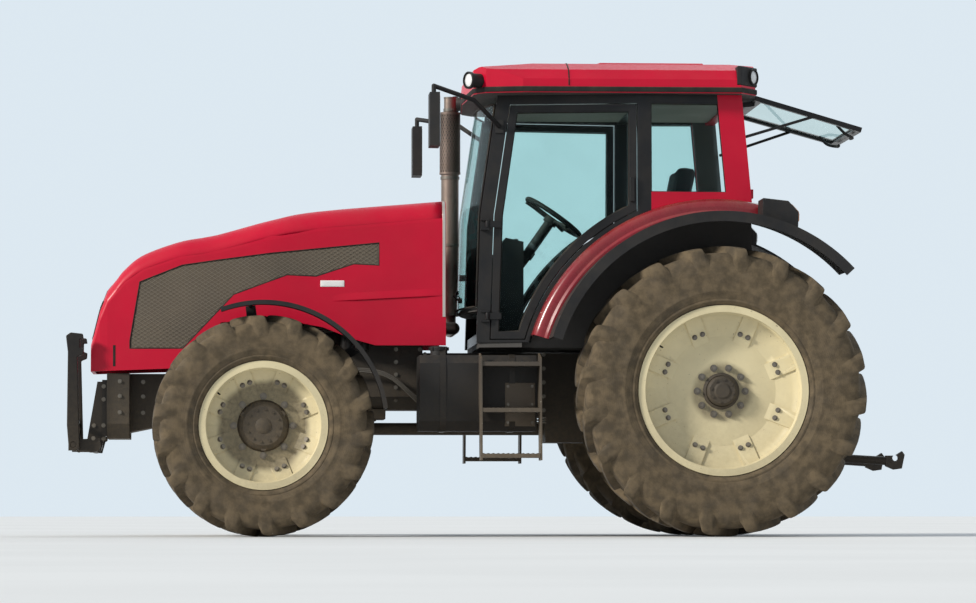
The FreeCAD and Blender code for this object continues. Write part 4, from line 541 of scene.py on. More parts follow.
def make_tyre(kind):
    spec = TYRES[kind]
    shape = Shape()
    middle = at(*MIDDLES[kind])
    section = [(r / 1000, y / 1000) for r, y in spec["section"]]
    section += [(r, -y) for r, y in reversed(section)]
    shape.turned(section, middle, (0, 1, 0), spec["lugs"] * 8)
    centre = spec["half"] / 2
    for k in range(spec["lugs"]):
        for side, lag in ((1, 0.0), (-1, 0.5)):
            angle = 2 * math.pi * (k + lag) / spec["lugs"]
            rows = []
            for y0, r0, y1, r1, width in spec["stations"]:
                reach = min(y0, spec["half"] - 12) - centre
                along = spec["slant"] * reach + 16.0 * (reach / centre) ** 2
                foot, top = LUG_BASE / 2 * width, LUG_TOP / 2 * width
                row = []
                for share, half in ((0.0, foot + 7), (0.10, foot), (0.90, top + 2.5), (1.0, top - 2.5)):
                    r = r0 + (r1 - r0) * share
                    y = y0 + (y1 - y0) * share
                    row.append((r, y, along + half))
                row += [(r, y, 2 * along - t) for r, y, t in reversed(row)]
                rows.append([around(middle, r / 1000, angle + t / r, side * y / 1000) for r, y, t in row])
            first = len(shape.verts)
            shape.grid(rows)
            shape.faces.append(tuple(first + j for j in range(8)))
            shape.faces.append(tuple(first + (len(rows) - 1) * 8 + j for j in reversed(range(8))))
    body = spec["body"]
    objects = shape.made("tyre_%s_tread" % kind, spec["rubber"], body + "_left", smooth=38,
                         mirror=body + "_right", origin=middle)
    for obj, side in zip(objects, ("left", "right")):
        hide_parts("tyre_%s_%s" % (kind, side))


def make_wheel_details(kind):
    """Rim rings, bracket bolts, wheel nuts, hub cap and valve of one kind of wheel."""
    rear = kind == "rear"
    x, _, z = MIDDLES[kind]
    middle = at(*MIDDLES[kind])
    flange = 0.508 if rear else 0.381
    half = 0.212 if rear else 0.165
    disc = 0.085 if rear else 0.034
    flat = 0.330 if rear else 0.250
    well = flange - 0.037
    bodies = ("wheel_%s_left" % kind, "wheel_%s_right" % kind)
    rings = Shape()
    for sign in (1, -1):
        edge = sign * half
        bead = [(flange - 0.004, edge + sign * 0.012), (flange + 0.003, edge + sign * 0.0125),
                (flange + 0.005, edge + sign * 0.007), (flange + 0.003, edge + sign * 0.001),
                (flange - 0.004, edge + sign * 0.001)]
        rings.turned(bead + bead[:1], middle, (0, 1, 0), 96)
    for y, size in ((half - 0.045, 0.006), (disc + 0.075, 0.004)):
        hump = [(well + 0.001, y - 0.014), (well - size, y - 0.007), (well - size, y + 0.007),
                (well + 0.001, y + 0.014)]
        rings.turned(hump, middle, (0, 1, 0), 96)
    weld = [(well + 0.001, disc + 0.036), (well - 0.009, disc + 0.041), (well - 0.001, disc + 0.054)]
    rings.turned(weld, middle, (0, 1, 0), 96)
    rings.made("rim_%s_rings" % kind, "cream", bodies[0], smooth=30, mirror=bodies[1])
    nuts = Shape()
    for angle in spread(8, math.pi / 8):
        for turn in (-0.07, 0.07) if rear else (-0.085, 0.085):
            r = flat + 0.030 if rear else flat + 0.022
            place = (x + r * 1000 * math.cos(angle + turn), 1400, z + r * 1000 * math.sin(angle + turn))
            bolts_on(nuts, "rim_%s_left" % kind, [place], (0, -1, 0), 0.012, 0.013)
    stud = 0.145 if rear else 0.178
    for angle in spread(10 if rear else 8):
        nuts.bolt(around(middle, stud, angle, disc + 0.002), (0, 1, 0), 0.016, 0.018)
        nuts.tube([around(middle, stud, angle, disc + out) for out in (0, 0.034)], 0.008, 10)
    nuts.made("rim_%s_nuts" % kind, "bolt", bodies[0], smooth=30, mirror=bodies[1])
    hub = Shape()
    if rear:
        hub.turned([(0.0, 0.168), (0.040, 0.168), (0.052, 0.160), (0.052, 0.150)], middle, (0, 1, 0), 40)
        for angle in spread(8, 0.2):
            hub.bolt(around(middle, 0.068, angle, 0.159), (0, 1, 0), 0.008, 0.006)
        hub.turned([(0.094, 0.086), (0.110, 0.086), (0.110, 0.096), (0.094, 0.104)], middle, (0, 1, 0), 48)
    else:
        hub.turned([(0.0, 0.082), (0.034, 0.082), (0.048, 0.074), (0.048, 0.060)], middle, (0, 1, 0), 40)
        for angle in spread(12, 0.13):
            hub.bolt(around(middle, 0.098, angle, 0.070), (0, 1, 0), 0.007, 0.006)
        for angle in spread(3, 0.5):
            hub.turned([(0.0, 0.056), (0.018, 0.056), (0.022, 0.050), (0.022, 0.034)],
                       around(middle, 0.132, angle), (0, 1, 0), 20)
        hub.turned([(0.150, 0.036), (0.150, 0.046), (0.156, 0.036)], middle, (0, 1, 0), 48)
    hub.made("hub_%s_cap" % kind, "cast", bodies[0], smooth=30, mirror=bodies[1])
    valve = Shape()
    start = around(middle, well - 0.002, 0.62, disc + 0.080)
    inward = (middle - start).normalized()
    valve.tube([start, start + inward * 0.018 + Vector((0, 0.004, 0)),
                start + inward * 0.024 + Vector((0, 0.030, 0))], 0.005, 10)
    valve.made("rim_%s_valve" % kind, "seal", bodies[0], mirror=bodies[1])


# ---- pieces laid on the nodes ----

TREES = {}
# Length in metres under which a face's outline gets no bead.
SHORTEST_LOOP = 0.4


def cast(node, start, towards):
    """Where a ray from a place meets a node, and the surface's direction there."""
    if node not in TREES:
        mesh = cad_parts[node].data
        TREES[node] = BVHTree.FromPolygons([v.co for v in mesh.vertices],
                                           [tuple(p.vertices) for p in mesh.polygons])
    towards = Vector(towards).normalized()
    point, normal, _, _ = TREES[node].ray_cast(at(*start), towards)
    if point is None:
        return None, None
    return point, normal if normal.dot(towards) < 0 else -normal


def face_loops(node, towards, least=0.6):
    """Outlines of the faces of a node that look one way, as closed rows of points."""
    bm = bmesh.new()
    bm.from_mesh(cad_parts[node].data)
    bmesh.ops.remove_doubles(bm, verts=bm.verts, dist=0.00005)
    bm.verts.index_update()
    bm.faces.index_update()
    towards = Vector(towards).normalized()
    chosen = [f.normal.dot(towards) > least for f in bm.faces]
    after = {}
    for face in bm.faces:
        if not chosen[face.index]:
            continue
        for loop in face.loops:
            if not any(f is not face and chosen[f.index] for f in loop.edge.link_faces):
                after[loop.vert.index] = loop.link_loop_next.vert.index
    places = [v.co.copy() for v in bm.verts]
    bm.free()
    loops = []
    while after:
        here = next(iter(after))
        row = []
        while here in after:
            row.append(places[here])
            here = after.pop(here)
        if sum((a - b).length for a, b in zip(row, row[1:])) > SHORTEST_LOOP:
            loops.append(row)
    return loops


def outline(shape, node, towards, radius, least=0.6):
    """Bead round the faces of a node that look one way."""
    up = Vector(towards).normalized()
    for row in face_loops(node, up, least):
        shape.tube(row, radius, 8, closed=True, plane=up)


def pad_on(shape, node, low, high, towards, lift, count=8):
    """Raised pad with soft edges on a node, inside a rectangle across the ray's direction."""
    towards = Vector(towards)
    axis = [abs(t) > 0.5 for t in towards].index(True)
    first, second = [i for i in range(3) if i != axis]

    def stops(a, b):
        inner = [(a + 8 + (b - a - 16) * k / count, lift) for k in range(count + 1)]
        return [(a, -2.0), (a + 1.5, lift * 0.6)] + inner + [(b - 1.5, lift * 0.6), (b, -2.0)]

    rows = []
    for u, rise_u in stops(low[first], high[first]):
        row = []
        for v, rise_v in stops(low[second], high[second]):
            start = [0.0, 0.0, 0.0]
            start[axis] = low[axis]
            start[first], start[second] = u, v
            hit, _ = cast(node, start, towards)
            if hit is None:
                return
            row.append(hit - towards * min(rise_u, rise_v) / 1000)
        rows.append(row)
    begin, wide, tall = len(shape.verts), len(rows[0]), len(rows)
    shape.grid(rows)
    rim = [(i, 0) for i in range(tall)] + [(tall - 1, j) for j in range(1, wide)]
    rim += [(i, wide - 1) for i in range(tall - 2, -1, -1)] + [(0, j) for j in range(wide - 2, 0, -1)]
    shape.faces.append(tuple(begin + i * wide + j for i, j in rim))


def hits(node, starts, towards):
    """Where rays from the starts meet a node. Those that miss it are left out."""
    found = [cast(node, start, towards)[0] for start in starts]
    return [p for p in found if p is not None]


def bolts_on(shape, node, places, towards, size=0.010, height=0.008):
    for place in places:
        hit, normal = cast(node, place, towards)
        if hit is not None:
            shape.bolt(hit, normal, size, height)


def lens_disc(shape, middle, axis, radius, depth=0.006):
    shape.turned([(0.0, depth), (radius * 0.55, depth * 0.85), (radius * 0.88, depth * 0.4), (radius, -0.001),
                  (radius * 0.9, -0.004), (0.0, -0.004)], middle, axis, 32)


def band(shape, points, across, thick, closed=False):
    """Flat strap along points: `across` is its whole width as a vector."""
    across = Vector(across)
    points = [Vector(p) for p in points]
    count = len(points)
    rows = []
    for i, p in enumerate(points):
        ahead = points[(i + 1) % count] if closed else points[min(i + 1, count - 1)]
        behind = points[i - 1] if closed or i else points[0]
        out = (ahead - behind).cross(across).normalized() * thick
        rows.append([p - across / 2, p + across / 2, p + across / 2 + out, p - across / 2 + out])
    first = len(shape.verts)
    shape.grid(rows, closed=True, ring=closed)
    if not closed:
        shape.faces.append(tuple(first + k for k in (3, 2, 1, 0)))
        shape.faces.append(tuple(first + (count - 1) * 4 + k for k in range(4)))


def girth(node, x, y, z):
    """Closed row of points round a node, in the plane across X."""
    row = []
    for a in spread(56):
        away = Vector((0, math.cos(a), math.sin(a)))
        hit, _ = cast(node, (x, y + away.y * 900, z + away.z * 900), -away)
        if hit is not None:
            row.append(hit + away * 0.002)
    return row


def line(*points):
    return [at(*p) for p in points]


def bend(points, steps=6):
    """Smooth line of a formed pipe through the given points."""
    points = [Vector(p) for p in points]
    ends = [points[0] * 2 - points[1]] + points + [points[-1] * 2 - points[-2]]
    row = []
    for a, b, c, d in zip(ends, ends[1:], ends[2:], ends[3:]):
        for t in (k / steps for k in range(steps)):
            row.append((b * 2 + (c - a) * t + (a * 2 - b * 5 + c * 4 - d) * t * t
                        + (b * 3 - a - c * 3 + d) * t ** 3) / 2)
    return row + [points[-1]]


# ---- hood ----

def hood_side(x, z):
    hit, _ = cast("hood", (x, 700, z), (0, -1, 0))
    return hit


# Sections of the hood along X, with the height and radius of its shoulders.
HOOD_SECTIONS = ((1640, 2064, 130), (2402, 1999, 130), (2698, 1943, 120), (3032, 1852, 120),
                 (3255, 1811, 115),
                 (3478, 1730, 110), (3590, 1643, 100), (3652, 1567, 94))


def make_hood_top():
    """Smooth skin over the hood's top and shoulders, between its sections."""
    sections = []
    for x, top, radius in HOOD_SECTIONS:
        low = top - radius + 4
        sides = [cast("hood", (x, sign * 900, low), (0, -sign, 0))[0] for sign in (1, -1)]
        row = []
        for k in range(65):
            a = math.pi * k / 64
            away = Vector((0, math.cos(a), math.sin(a)))
            if k in (0, 64):
                hit = sides[0 if k == 0 else 1]
            else:
                hit, _ = cast("hood", (x, away.y * 900, low + away.z * 900), -away)
            row.append(hit)
        sections.append(row)
    lines = [bend([row[k] for row in sections], 10) for k in range(65)]
    rows = []
    count = len(lines[0])
    for i in range(count):
        row = []
        for k in range(65):
            edge = min(k, 64 - k, i + 1, count - 1 - i)
            away = Vector((0, math.cos(math.pi * k / 64), math.sin(math.pi * k / 64)))
            row.append(lines[k][i] + away * (-0.0015 if edge == 0 else 0.0012))
        rows.append(row)
    skin = Shape()
    skin.grid(rows)
    objects = skin.made("hood_top", "red", "hood_assembly", smooth=60)
    solid = objects[0].modifiers.new("wall", "SOLIDIFY")
    solid.thickness = 0.003
    solid.offset = -1.0


def make_hood():
    make_hood_top()
    wires = Shape()
    for slope in (0.62, -0.62):
        for k in range(-45, 85):
            run = []
            for step in range(104):
                x = 2032 + step * 15.0
                z = 1100 + slope * (x - 2032) + k * 24.0
                hit = cast("hood_grilles", (x, 600, z), (0, -1, 0))[0] if 1145 < z < 1806 else None
                if hit is not None and hit.y > 0.2:
                    run.append(hit + Vector((0, 0.0012, 0)))
                if run and (hit is None or hit.y <= 0.2 or step == 103):
                    if len(run) > 2:
                        wires.tube(run[:-1:4] + run[-1:], 0.0019, 4)
                    run = []
    wires.made("grille_wires", "wire", "hood_assembly", smooth=20, mirror="hood_assembly")

    rims = Shape()
    outline(rims, "hood_grilles", (0, 1, 0), 0.006)
    rims.made("grille_gasket", "seal", "hood_assembly", mirror="hood_assembly")
    front = Shape()
    outline(front, "headlamps", (1, 0, 0), 0.005, 0.3)
    front.made("lamp_gaskets", "seal", "hood_assembly")
    nose = Shape()
    for z in range(1234, 1520, 38):
        row = hits("hood", [(4200, y, z - 12) for y in range(-158, 159, 12)], (-1, 0, 0))
        row = [p for p in row if p.x > at(3640, 0, 0).x]
        if len(row) > 6:
            band(nose, row, (0.0, 0, 0.007), -0.006)
    if nose.verts:
        nose.made("nose_grille_blades", "seal", "hood_assembly", bevel=0.0015)

    screen = Shape()
    screen.prism(line((3662, -232, 1165), (3662, 232, 1165), (3604, 232, 1560), (3604, -232, 1560)),
                 (-0.006, 0, 0))
    for z in range(1180, 1560, 14):
        x = 3662 - (z - 1165) * 0.147
        screen.prism(line((x, -228, z), (x + 6, -228, z + 2), (x + 5, -228, z + 7), (x - 1, -228, z + 6)),
                     (0, 0.456, 0))
    screen.made("nose_screen", "seal", "hood_assembly", smooth=30)
    bulbs = Shape()
    lamps = Shape()
    for y, z in ((237, 1284), (244, 1376)):
        hit, normal = cast("headlamps", (4200, y, z), (-1, 0, 0))
        lens_disc(lamps, hit + normal * 0.001, normal, 0.021)
        bulbs.turned([(0.020, -0.003), (0.024, -0.001), (0.024, 0.004), (0.020, 0.006), (0.020, -0.003)],
                     hit, normal, 32)
    lamps.made("headlamp_lens", "lens_clear", "hood_assembly", mirror="hood_assembly")
    bulbs.made("headlamp_ring", "chrome", "hood_assembly", mirror="hood_assembly")

    crease = Shape()
    rows = []
    for k in range(25):
        x = 2320 - k * 28.0
        z = 1442 + k * 1.5
        size = min(1.0, k / 5, (24 - k) / 5 + 0.15)
        row = []
        for drop, proud in ((46, -0.5), (22, 4.0 * size), (3, 8.5 * size), (-1, 8.5 * size), (-7, -0.5)):
            hit = hood_side(x, z + drop)
            row.append(hit + Vector((0, proud / 1000, 0)))
        rows.append(row)
    crease.grid(rows, closed=True)
    crease.faces += [(4, 3, 2, 1, 0), tuple(range(120, 125))]
    crease.made("hood_crease", "red", "hood_assembly", smooth=30, mirror="hood_assembly")

    plates = Shape()
    pad_on(plates, "hood", (2248, 700, 1528), (2396, 0, 1568), (0, -1, 0), 4.0)
    plates.made("hood_bar", "white", "hood_assembly", mirror="hood_assembly")
    dark = Shape()
    pad_on(dark, "hood", (3646, 700, 1040), (3664, 0, 1172), (0, -1, 0), 1.5, 3)
    pad_on(dark, "hood", (1700, 700, 1140), (1748, 0, 1196), (0, -1, 0), 5.0, 4)
    dark.made("hood_latch", "seal", "hood_assembly", mirror="hood_assembly")
    # Pale metal strip round the hood's rear edge: painted highlight of that edge.
    edge = Shape()
    row = []
    for a in range(0, 181, 4):
        away = Vector((0, math.cos(math.radians(a)), math.sin(math.radians(a))))
        hit, _ = cast("hood", (1637, away.y * 1200, 1700 + away.z * 1200), -away)
        if hit is not None:
            row.append(hit)
    row = [at(1637, 433, z) for z in (1345, 1500)] + row + [at(1637, -433, z) for z in (1500, 1345)]
    band(edge, row, (0.018, 0, 0), 0.003)
    edge.made("hood_rear_highlight_strip", "edge_highlight", "hood_assembly", bevel=0.001)


# ---- engine and frame ----

def make_engine():
    hoses = Shape()
    hoses.tube(bend(line((2690, 90, 1400), (2695, 110, 1500), (2740, 150, 1562), (2830, 170, 1582),
                         (2903, 170, 1582))), 0.022)
    hoses.tube(bend(line((3215, -236, 1550), (3192, -300, 1560), (3080, -318, 1590), (2900, -318, 1612),
                         (2660, -305, 1590), (2500, -262, 1505), (2424, -225, 1458), (2366, -220, 1450))),
               0.029, 20)
    hoses.made("engine_hoses", "seal", smooth=60)
    pipes = Shape()
    pipes.tube(bend(line((2346, -220, 1528), (2346, -165, 1592), (2346, -20, 1606), (2348, 130, 1570),
                         (2358, 195, 1450), (2360, 205, 1372))), 0.028, 20)
    for k in range(6):
        x = 2023 + 123.3 * k
        pipes.tube(bend(line((2560 + 10 * k, 262, 1180), (2560 + 10 * k, 262, 1240 + 7 * k),
                             (x + 30, 240, 1290 + 6 * k), (x + 12, 170, 1412), (x, 140, 1426))), 0.0032, 8)
    pipes.made("engine_pipes", "bolt", smooth=60)
    pulleys = Shape()
    groove = [(0.0, 0.014), (0.6, 0.014), (0.7, 0.012), (1.0, 0.012), (0.94, 0.006), (1.0, 0.003),
              (0.94, 0.0),
              (1.0, -0.003), (0.94, -0.006), (1.0, -0.012), (0.7, -0.012), (0.0, -0.012)]
    rounds = ((0, 1075, 0.098), (-196, 1292, 0.036))
    for y, z, r in rounds:
        pulleys.turned([(r * q, t) for q, t in groove], at(2770, y, z), (1, 0, 0), 40)
    pulleys.turned([(0.0, 0.05), (0.046, 0.05), (0.058, 0.04), (0.058, -0.034), (0.046, -0.044),
                    (0.0, -0.044)],
                   at(2806, -196, 1292), (1, 0, 0), 32)
    pulleys.tube(line((2752, 0, 1075), (2790, 0, 1075)), 0.03, 24)
    pulleys.block((2700, -214, 1268), (2766, -120, 1318))
    pulleys.made("engine_pulleys", "bolt", smooth=30)
    circles = [(y, z, r * 1000 + 2) for y, z, r in rounds] + [(0, 1300, 87)]
    spots = [(y + r * math.cos(a), z + r * math.sin(a)) for y, z, r in circles for a in spread(36)]
    belt = Shape()
    band(belt, [at(2770, y, z) for y, z in hull(spots)], (0.018, 0, 0), 0.004, closed=True)
    belt.made("fan_belt", "seal", smooth=60)
    cans = Shape()
    can = [(0.0, 0.116), (0.030, 0.116), (0.042, 0.108), (0.046, 0.096), (0.046, 0.010), (0.040, 0.002),
           (0.040, -0.006)]
    cans.turned(can, at(2440, 240, 1050), (0, 1, -0.15), 36)
    for x in (2130, 2230):
        cans.turned([(r * 0.85, t) for r, t in can], at(x, 290, 1250), (0, 0, -1), 36)
    cans.block((2080, 238, 1244), (2280, 320, 1268))
    cans.block((2540, 236, 1080), (2640, 292, 1182))
    cans.turned([(0.0, 0.022), (0.03, 0.022), (0.034, 0.016), (0.034, 0.0)], at(2150, 0, 1533), (0, 0, 1), 12)
    cans.made("engine_filters", "black", slot="cast_dark", bevel=0.003)
    core = Shape()
    for y in range(-230, 231, 12):
        core.block((3108, y - 2, 1068), (3115, y + 1, 1432))
    for z in range(1076, 1432, 32):
        core.block((3108, -234, z - 3), (3113, 234, z + 3))
    core.made("cooler_fins", "fins", smooth=30)
    rings = Shape()
    for y in (-130, 130):
        rings.turned(hoop(0.104, 0.108, -0.010, 0.010),
                     at(3215, y, 1550), (0, 1, 0), 48)
    for y, side in ((-240, -1), (240, 1)):
        rings.turned([(0.0, 0.006), (0.050, 0.006), (0.066, 0.001), (0.072, -0.003)], at(3215, y, 1550),
                     (0, side, 0), 40)
    rings.made("cleaner_bands", "bolt", smooth=30)
    heads = Shape()
    for x in range(2000, 2680, 72):
        for y in (-118, 118):
            heads.bolt(at(x, y, 1430), (0, 0, 1), 0.009, 0.010)
    places = [(x, y, 1700) for x in (2020, 2240, 2460, 2640) for y in (-60, 60)]
    bolts_on(heads, "engine_block", places, (0, 0, -1), 0.008)
    heads.made("head_bolts", "bolt", smooth=30)


def hull(spots):
    """Points of the belt line round a set of spots."""
    spots = sorted(spots)
    ring = []
    for row in (spots, spots[::-1]):
        half = []
        for p in row:
            while len(half) > 1 and ((half[-1][0] - half[-2][0]) * (p[1] - half[-2][1])
                                     - (half[-1][1] - half[-2][1]) * (p[0] - half[-2][0])) <= 0:
                half.pop()
            half.append(p)
        ring += half[:-1]
    return ring


def make_chassis():
    bolts = Shape()
    sides = [("engine_block", [(x, 900, z) for x in (1776, 1924) for z in range(840, 1320, 78)]),
             ("transmission", [(x, 900, z) for x in (1745, 1010, 420) for z in range(520, 1130, 86)]),
             ("front_frame", [(x, 900, z) for x in (2440, 2520, 3150, 3300, 3480, 3620)
                              for z in (760, 860, 950)]),
             ("front_linkage_frame", [(x, 900, z) for x in (3720, 3780) for z in (600, 680, 840, 920)])]
    for node, places in sides:
        bolts_on(bolts, node, places, (0, -1, 0))
    bolts.made("frame_bolts", "bolt", smooth=30, mirror="chassis")
    axle = Shape()
    for a in spread(14, 0.1):
        bolts_on(axle, "rear_axle_housing", [(165 * math.cos(a), 1200, 875 + 165 * math.sin(a))],
                 (0, -1, 0), 0.011)
    axle.made("axle_bolts", "bolt", smooth=30, mirror="chassis")
    sump = Shape()
    sump.prism(line((1985, -175, 784), (1985, 175, 784), (1985, 150, 722), (1985, -150, 722)), (0.56, 0, 0))
    sump.prism(line((2040, -120, 722), (2040, 120, 722), (2040, 105, 712), (2040, -105, 712)), (0.42, 0, 0))
    sump.made("oil_sump", "cast", smooth=30, bevel=0.012, segments=3)
    panel, screws = Shape(), Shape()
    pad_on(panel, "fuel_tank", (1100, 1200, 668), (1285, 0, 932), (0, -1, 0), 6.0)
    panel.made("tank_panel", "panel")
    for x in (1118, 1267):
        for z in (690, 800, 910):
            hit, _ = cast("fuel_tank", (x, 1200, z), (0, -1, 0))
            screws.bolt(hit + Vector((0, 0.006, 0)), (0, 1, 0), 0.007, 0.005)
    screws.made("tank_panel_bolts", "bolt", smooth=30)
    valves = Shape()
    valves.block((-322, -150, 1150), (-262, 150, 1262))
    valves.made("valve_block", "cast", smooth=30, bevel=0.006)
    ends, caps = Shape(), Shape()
    for row, z in enumerate((1180, 1230)):
        for k in range(4):
            y = -112 + 75 * k
            ends.turned([(0.0, -0.020), (0.015, -0.020), (0.015, 0.014), (0.019, 0.016), (0.019, 0.034),
                         (0.014, 0.038),
                         (0.010, 0.038), (0.010, 0.026), (0.0, 0.026)], at(-322, y, z), (-1, 0, 0), 24)
            caps.turned([(0.020, 0.002), (0.024, 0.004), (0.024, 0.012), (0.020, 0.014), (0.020, 0.002)],
                        at(-322, y, z), (-1, 0, 0), 24)
    ends.made("hydraulic_couplers", "steel", smooth=30)
    caps.made("coupler_rings", "red", smooth=30)
    link = Shape()
    link.tube(line((-392, 0, 1060), (-420, 0, 1066)), 0.024, 20)
    link.tube(line((-410, 0, 1064), (-640, 0, 1140)), 0.020, 20)
    link.tube(line((-560, 0, 1114), (-770, 0, 1183)), 0.014, 20)
    link.turned([(0.016, -0.02), (0.036, -0.02), (0.038, 0.0), (0.036, 0.02), (0.016, 0.02), (0.016, -0.02)],
                at(-790, 0, 1190), (0, 1, 0), 28)
    link.tube(line((-540, 24, 1100), (-540, 62, 1096), (-600, 64, 1118)), 0.005, 10)
    link.made("top_link", "black")
    pipes = Shape()
    for k in range(3):
        z = 700 + 16 * k
        pipes.tube(bend(line((1000, 306, z), (1300, 306, z), (1700, 306, z + 60), (2000, 296, 990 + 10 * k),
                             (2380, 290, 1008 + 10 * k), (2500, 280, 1008 + 10 * k))), 0.006, 10)
    pipes.made("oil_pipes", "bolt", smooth=60)
    straps = Shape()
    for x in (1240, 1660):
        band(straps, girth("fuel_tank", x, 530, 870), (0.036, 0, 0), 0.003, closed=True)
    straps.made("tank_straps", "black", smooth=60)
    cap = Shape()
    ribs = [(0.054, 0.0), (0.056, 0.018), (0.050, 0.026), (0.016, 0.028), (0.0, 0.028)]
    cap.turned(ribs, at(1680, 650, 1128), (0, 0, 1), 40)
    for a in spread(8):
        cap.prism([at(1680, 650, 1130) + Vector((math.cos(a + t) * r, math.sin(a + t) * r, 0))
                   for r, t in ((0.05, -0.10), (0.062, -0.07), (0.062, 0.07), (0.05, 0.10))], (0, 0, 0.02))
    cap.made("tank_cap", "plastic", smooth=30)
    lid = Shape()
    pad_on(lid, "toolbox", (1112, -1200, 800), (1600, 0, 1040), (0, 1, 0), 5.0)
    for x in (1230, 1480):
        pad_on(lid, "toolbox", (x, -1200, 1046), (x + 50, 0, 1078), (0, 1, 0), 10.0, 3)
    lid.made("toolbox_lid", "plastic")
    studs = Shape()
    for z, low, high in ((1054, 785, 922), (775, 800, 950), (500, 842, 975)):
        for x in range(1095, 1430, 30):
            for y in range(low, high, 27):
                hit, normal = cast("cab_steps", (x, y, z + 60), (0, 0, -1))
                if hit is not None and abs(hit.z - at(0, 0, z).z) < 0.02:
                    studs.turned([(0.0, 0.0035), (0.004, 0.003), (0.0075, -0.0005)], hit, normal, 8)
    studs.made("step_studs", "black", mirror="chassis")


def make_exhaust():
    x, y = 1545, -625
    shield = Shape()
    columns, levels = 22, 18
    for j in range(levels):
        for i in range(columns):
            ring = []
            for corner in range(8):
                a = math.pi / 4 * corner + math.pi / 8
                u, v = (math.cos(a), math.sin(a))
                ring.append(((max(-1, min(1, 1.09 * u)), max(-1, min(1, 1.09 * v))), (u * 0.66, v * 0.66)))
            lag = 0.5 if j % 2 else 0.0

            def place(u, v, r):
                angle = 2 * math.pi * (i + lag + u / 2) / columns
                return at(x + r * math.cos(angle), y + r * math.sin(angle),
                          2312 + (j + 0.5 + v / 2) * 376 / levels)

            outer, inner = [p for p, _ in ring], [q for _, q in ring]
            rows = [[place(*p, r) for p in row]
                    for row, r in ((outer, 66), (inner, 66), (inner, 64), (outer, 64))]
            shield.grid(rows, closed=True)
    for z in (2304, 2688):
        shield.turned(hoop(0.0625, 0.0675, 0.0, 0.012), at(x, y, z),
                      (0, 0, 1), 44)
    shield.made("exhaust_guard", "stack", smooth=35)
    # Black sleeve under the guard: painted shade seen through its holes.
    shade_sleeve = Shape()
    shade_sleeve.turned(hoop(0.060, 0.0612, 0.0, 0.39), at(x, y, 2305), (0, 0, 1), 44)
    shade_sleeve.made("exhaust_shade_sleeve", "seal", slot="exhaust_metal")
    clamps = Shape()
    for z, r in ((1404, 0.058), (1850, 0.058), (2280, 0.058), (2716, 0.0395), (1330, 0.0395)):
        clamps.turned(hoop(r - 0.002, r + 0.003, -0.009, 0.009), at(x, y, z), (0, 0, 1), 40)
        clamps.tube([at(x, y, z) + Vector((shift, r + 0.010, 0)) for shift in (0.004, -0.022)], 0.004, 8)
        clamps.block((x - 10, y + r * 1000, z - 8), (x + 2, y + r * 1000 + 18, z + 8))
    clamps.turned([(0.0325, 0.0), (0.040, 0.0), (0.040, 0.010), (0.0345, 0.010), (0.0325, 0.0)],
                  at(x, y, 2789), (0, 0, 1), 40)
    clamps.made("exhaust_clamps", "bolt", smooth=30)
    bore = Shape()
    bore.turned([(0.0, 0.0), (0.034, 0.0), (0.034, 0.004), (0.0, 0.004)], at(x, y, 2791), (0, 0, 1), 32)
    bore.made("exhaust_bore", "seal", slot="exhaust_metal", smooth=30)


# ---- cab ----

ROOF_PLAN = ((-258, 0), (-258, 700), (-150, 850), (1180, 850), (1400, 790), (1470, 680), (1503, 0))
# Section of the black strip round the roof's lower edge, shaped like a gutter: painted shade of the eaves.
# How far it stands out from that plan, and its height.
EAVES_SHADE = ((-6, 2696), (5, 2697), (7, 2701), (7, 2722), (4, 2727), (-6, 2729))


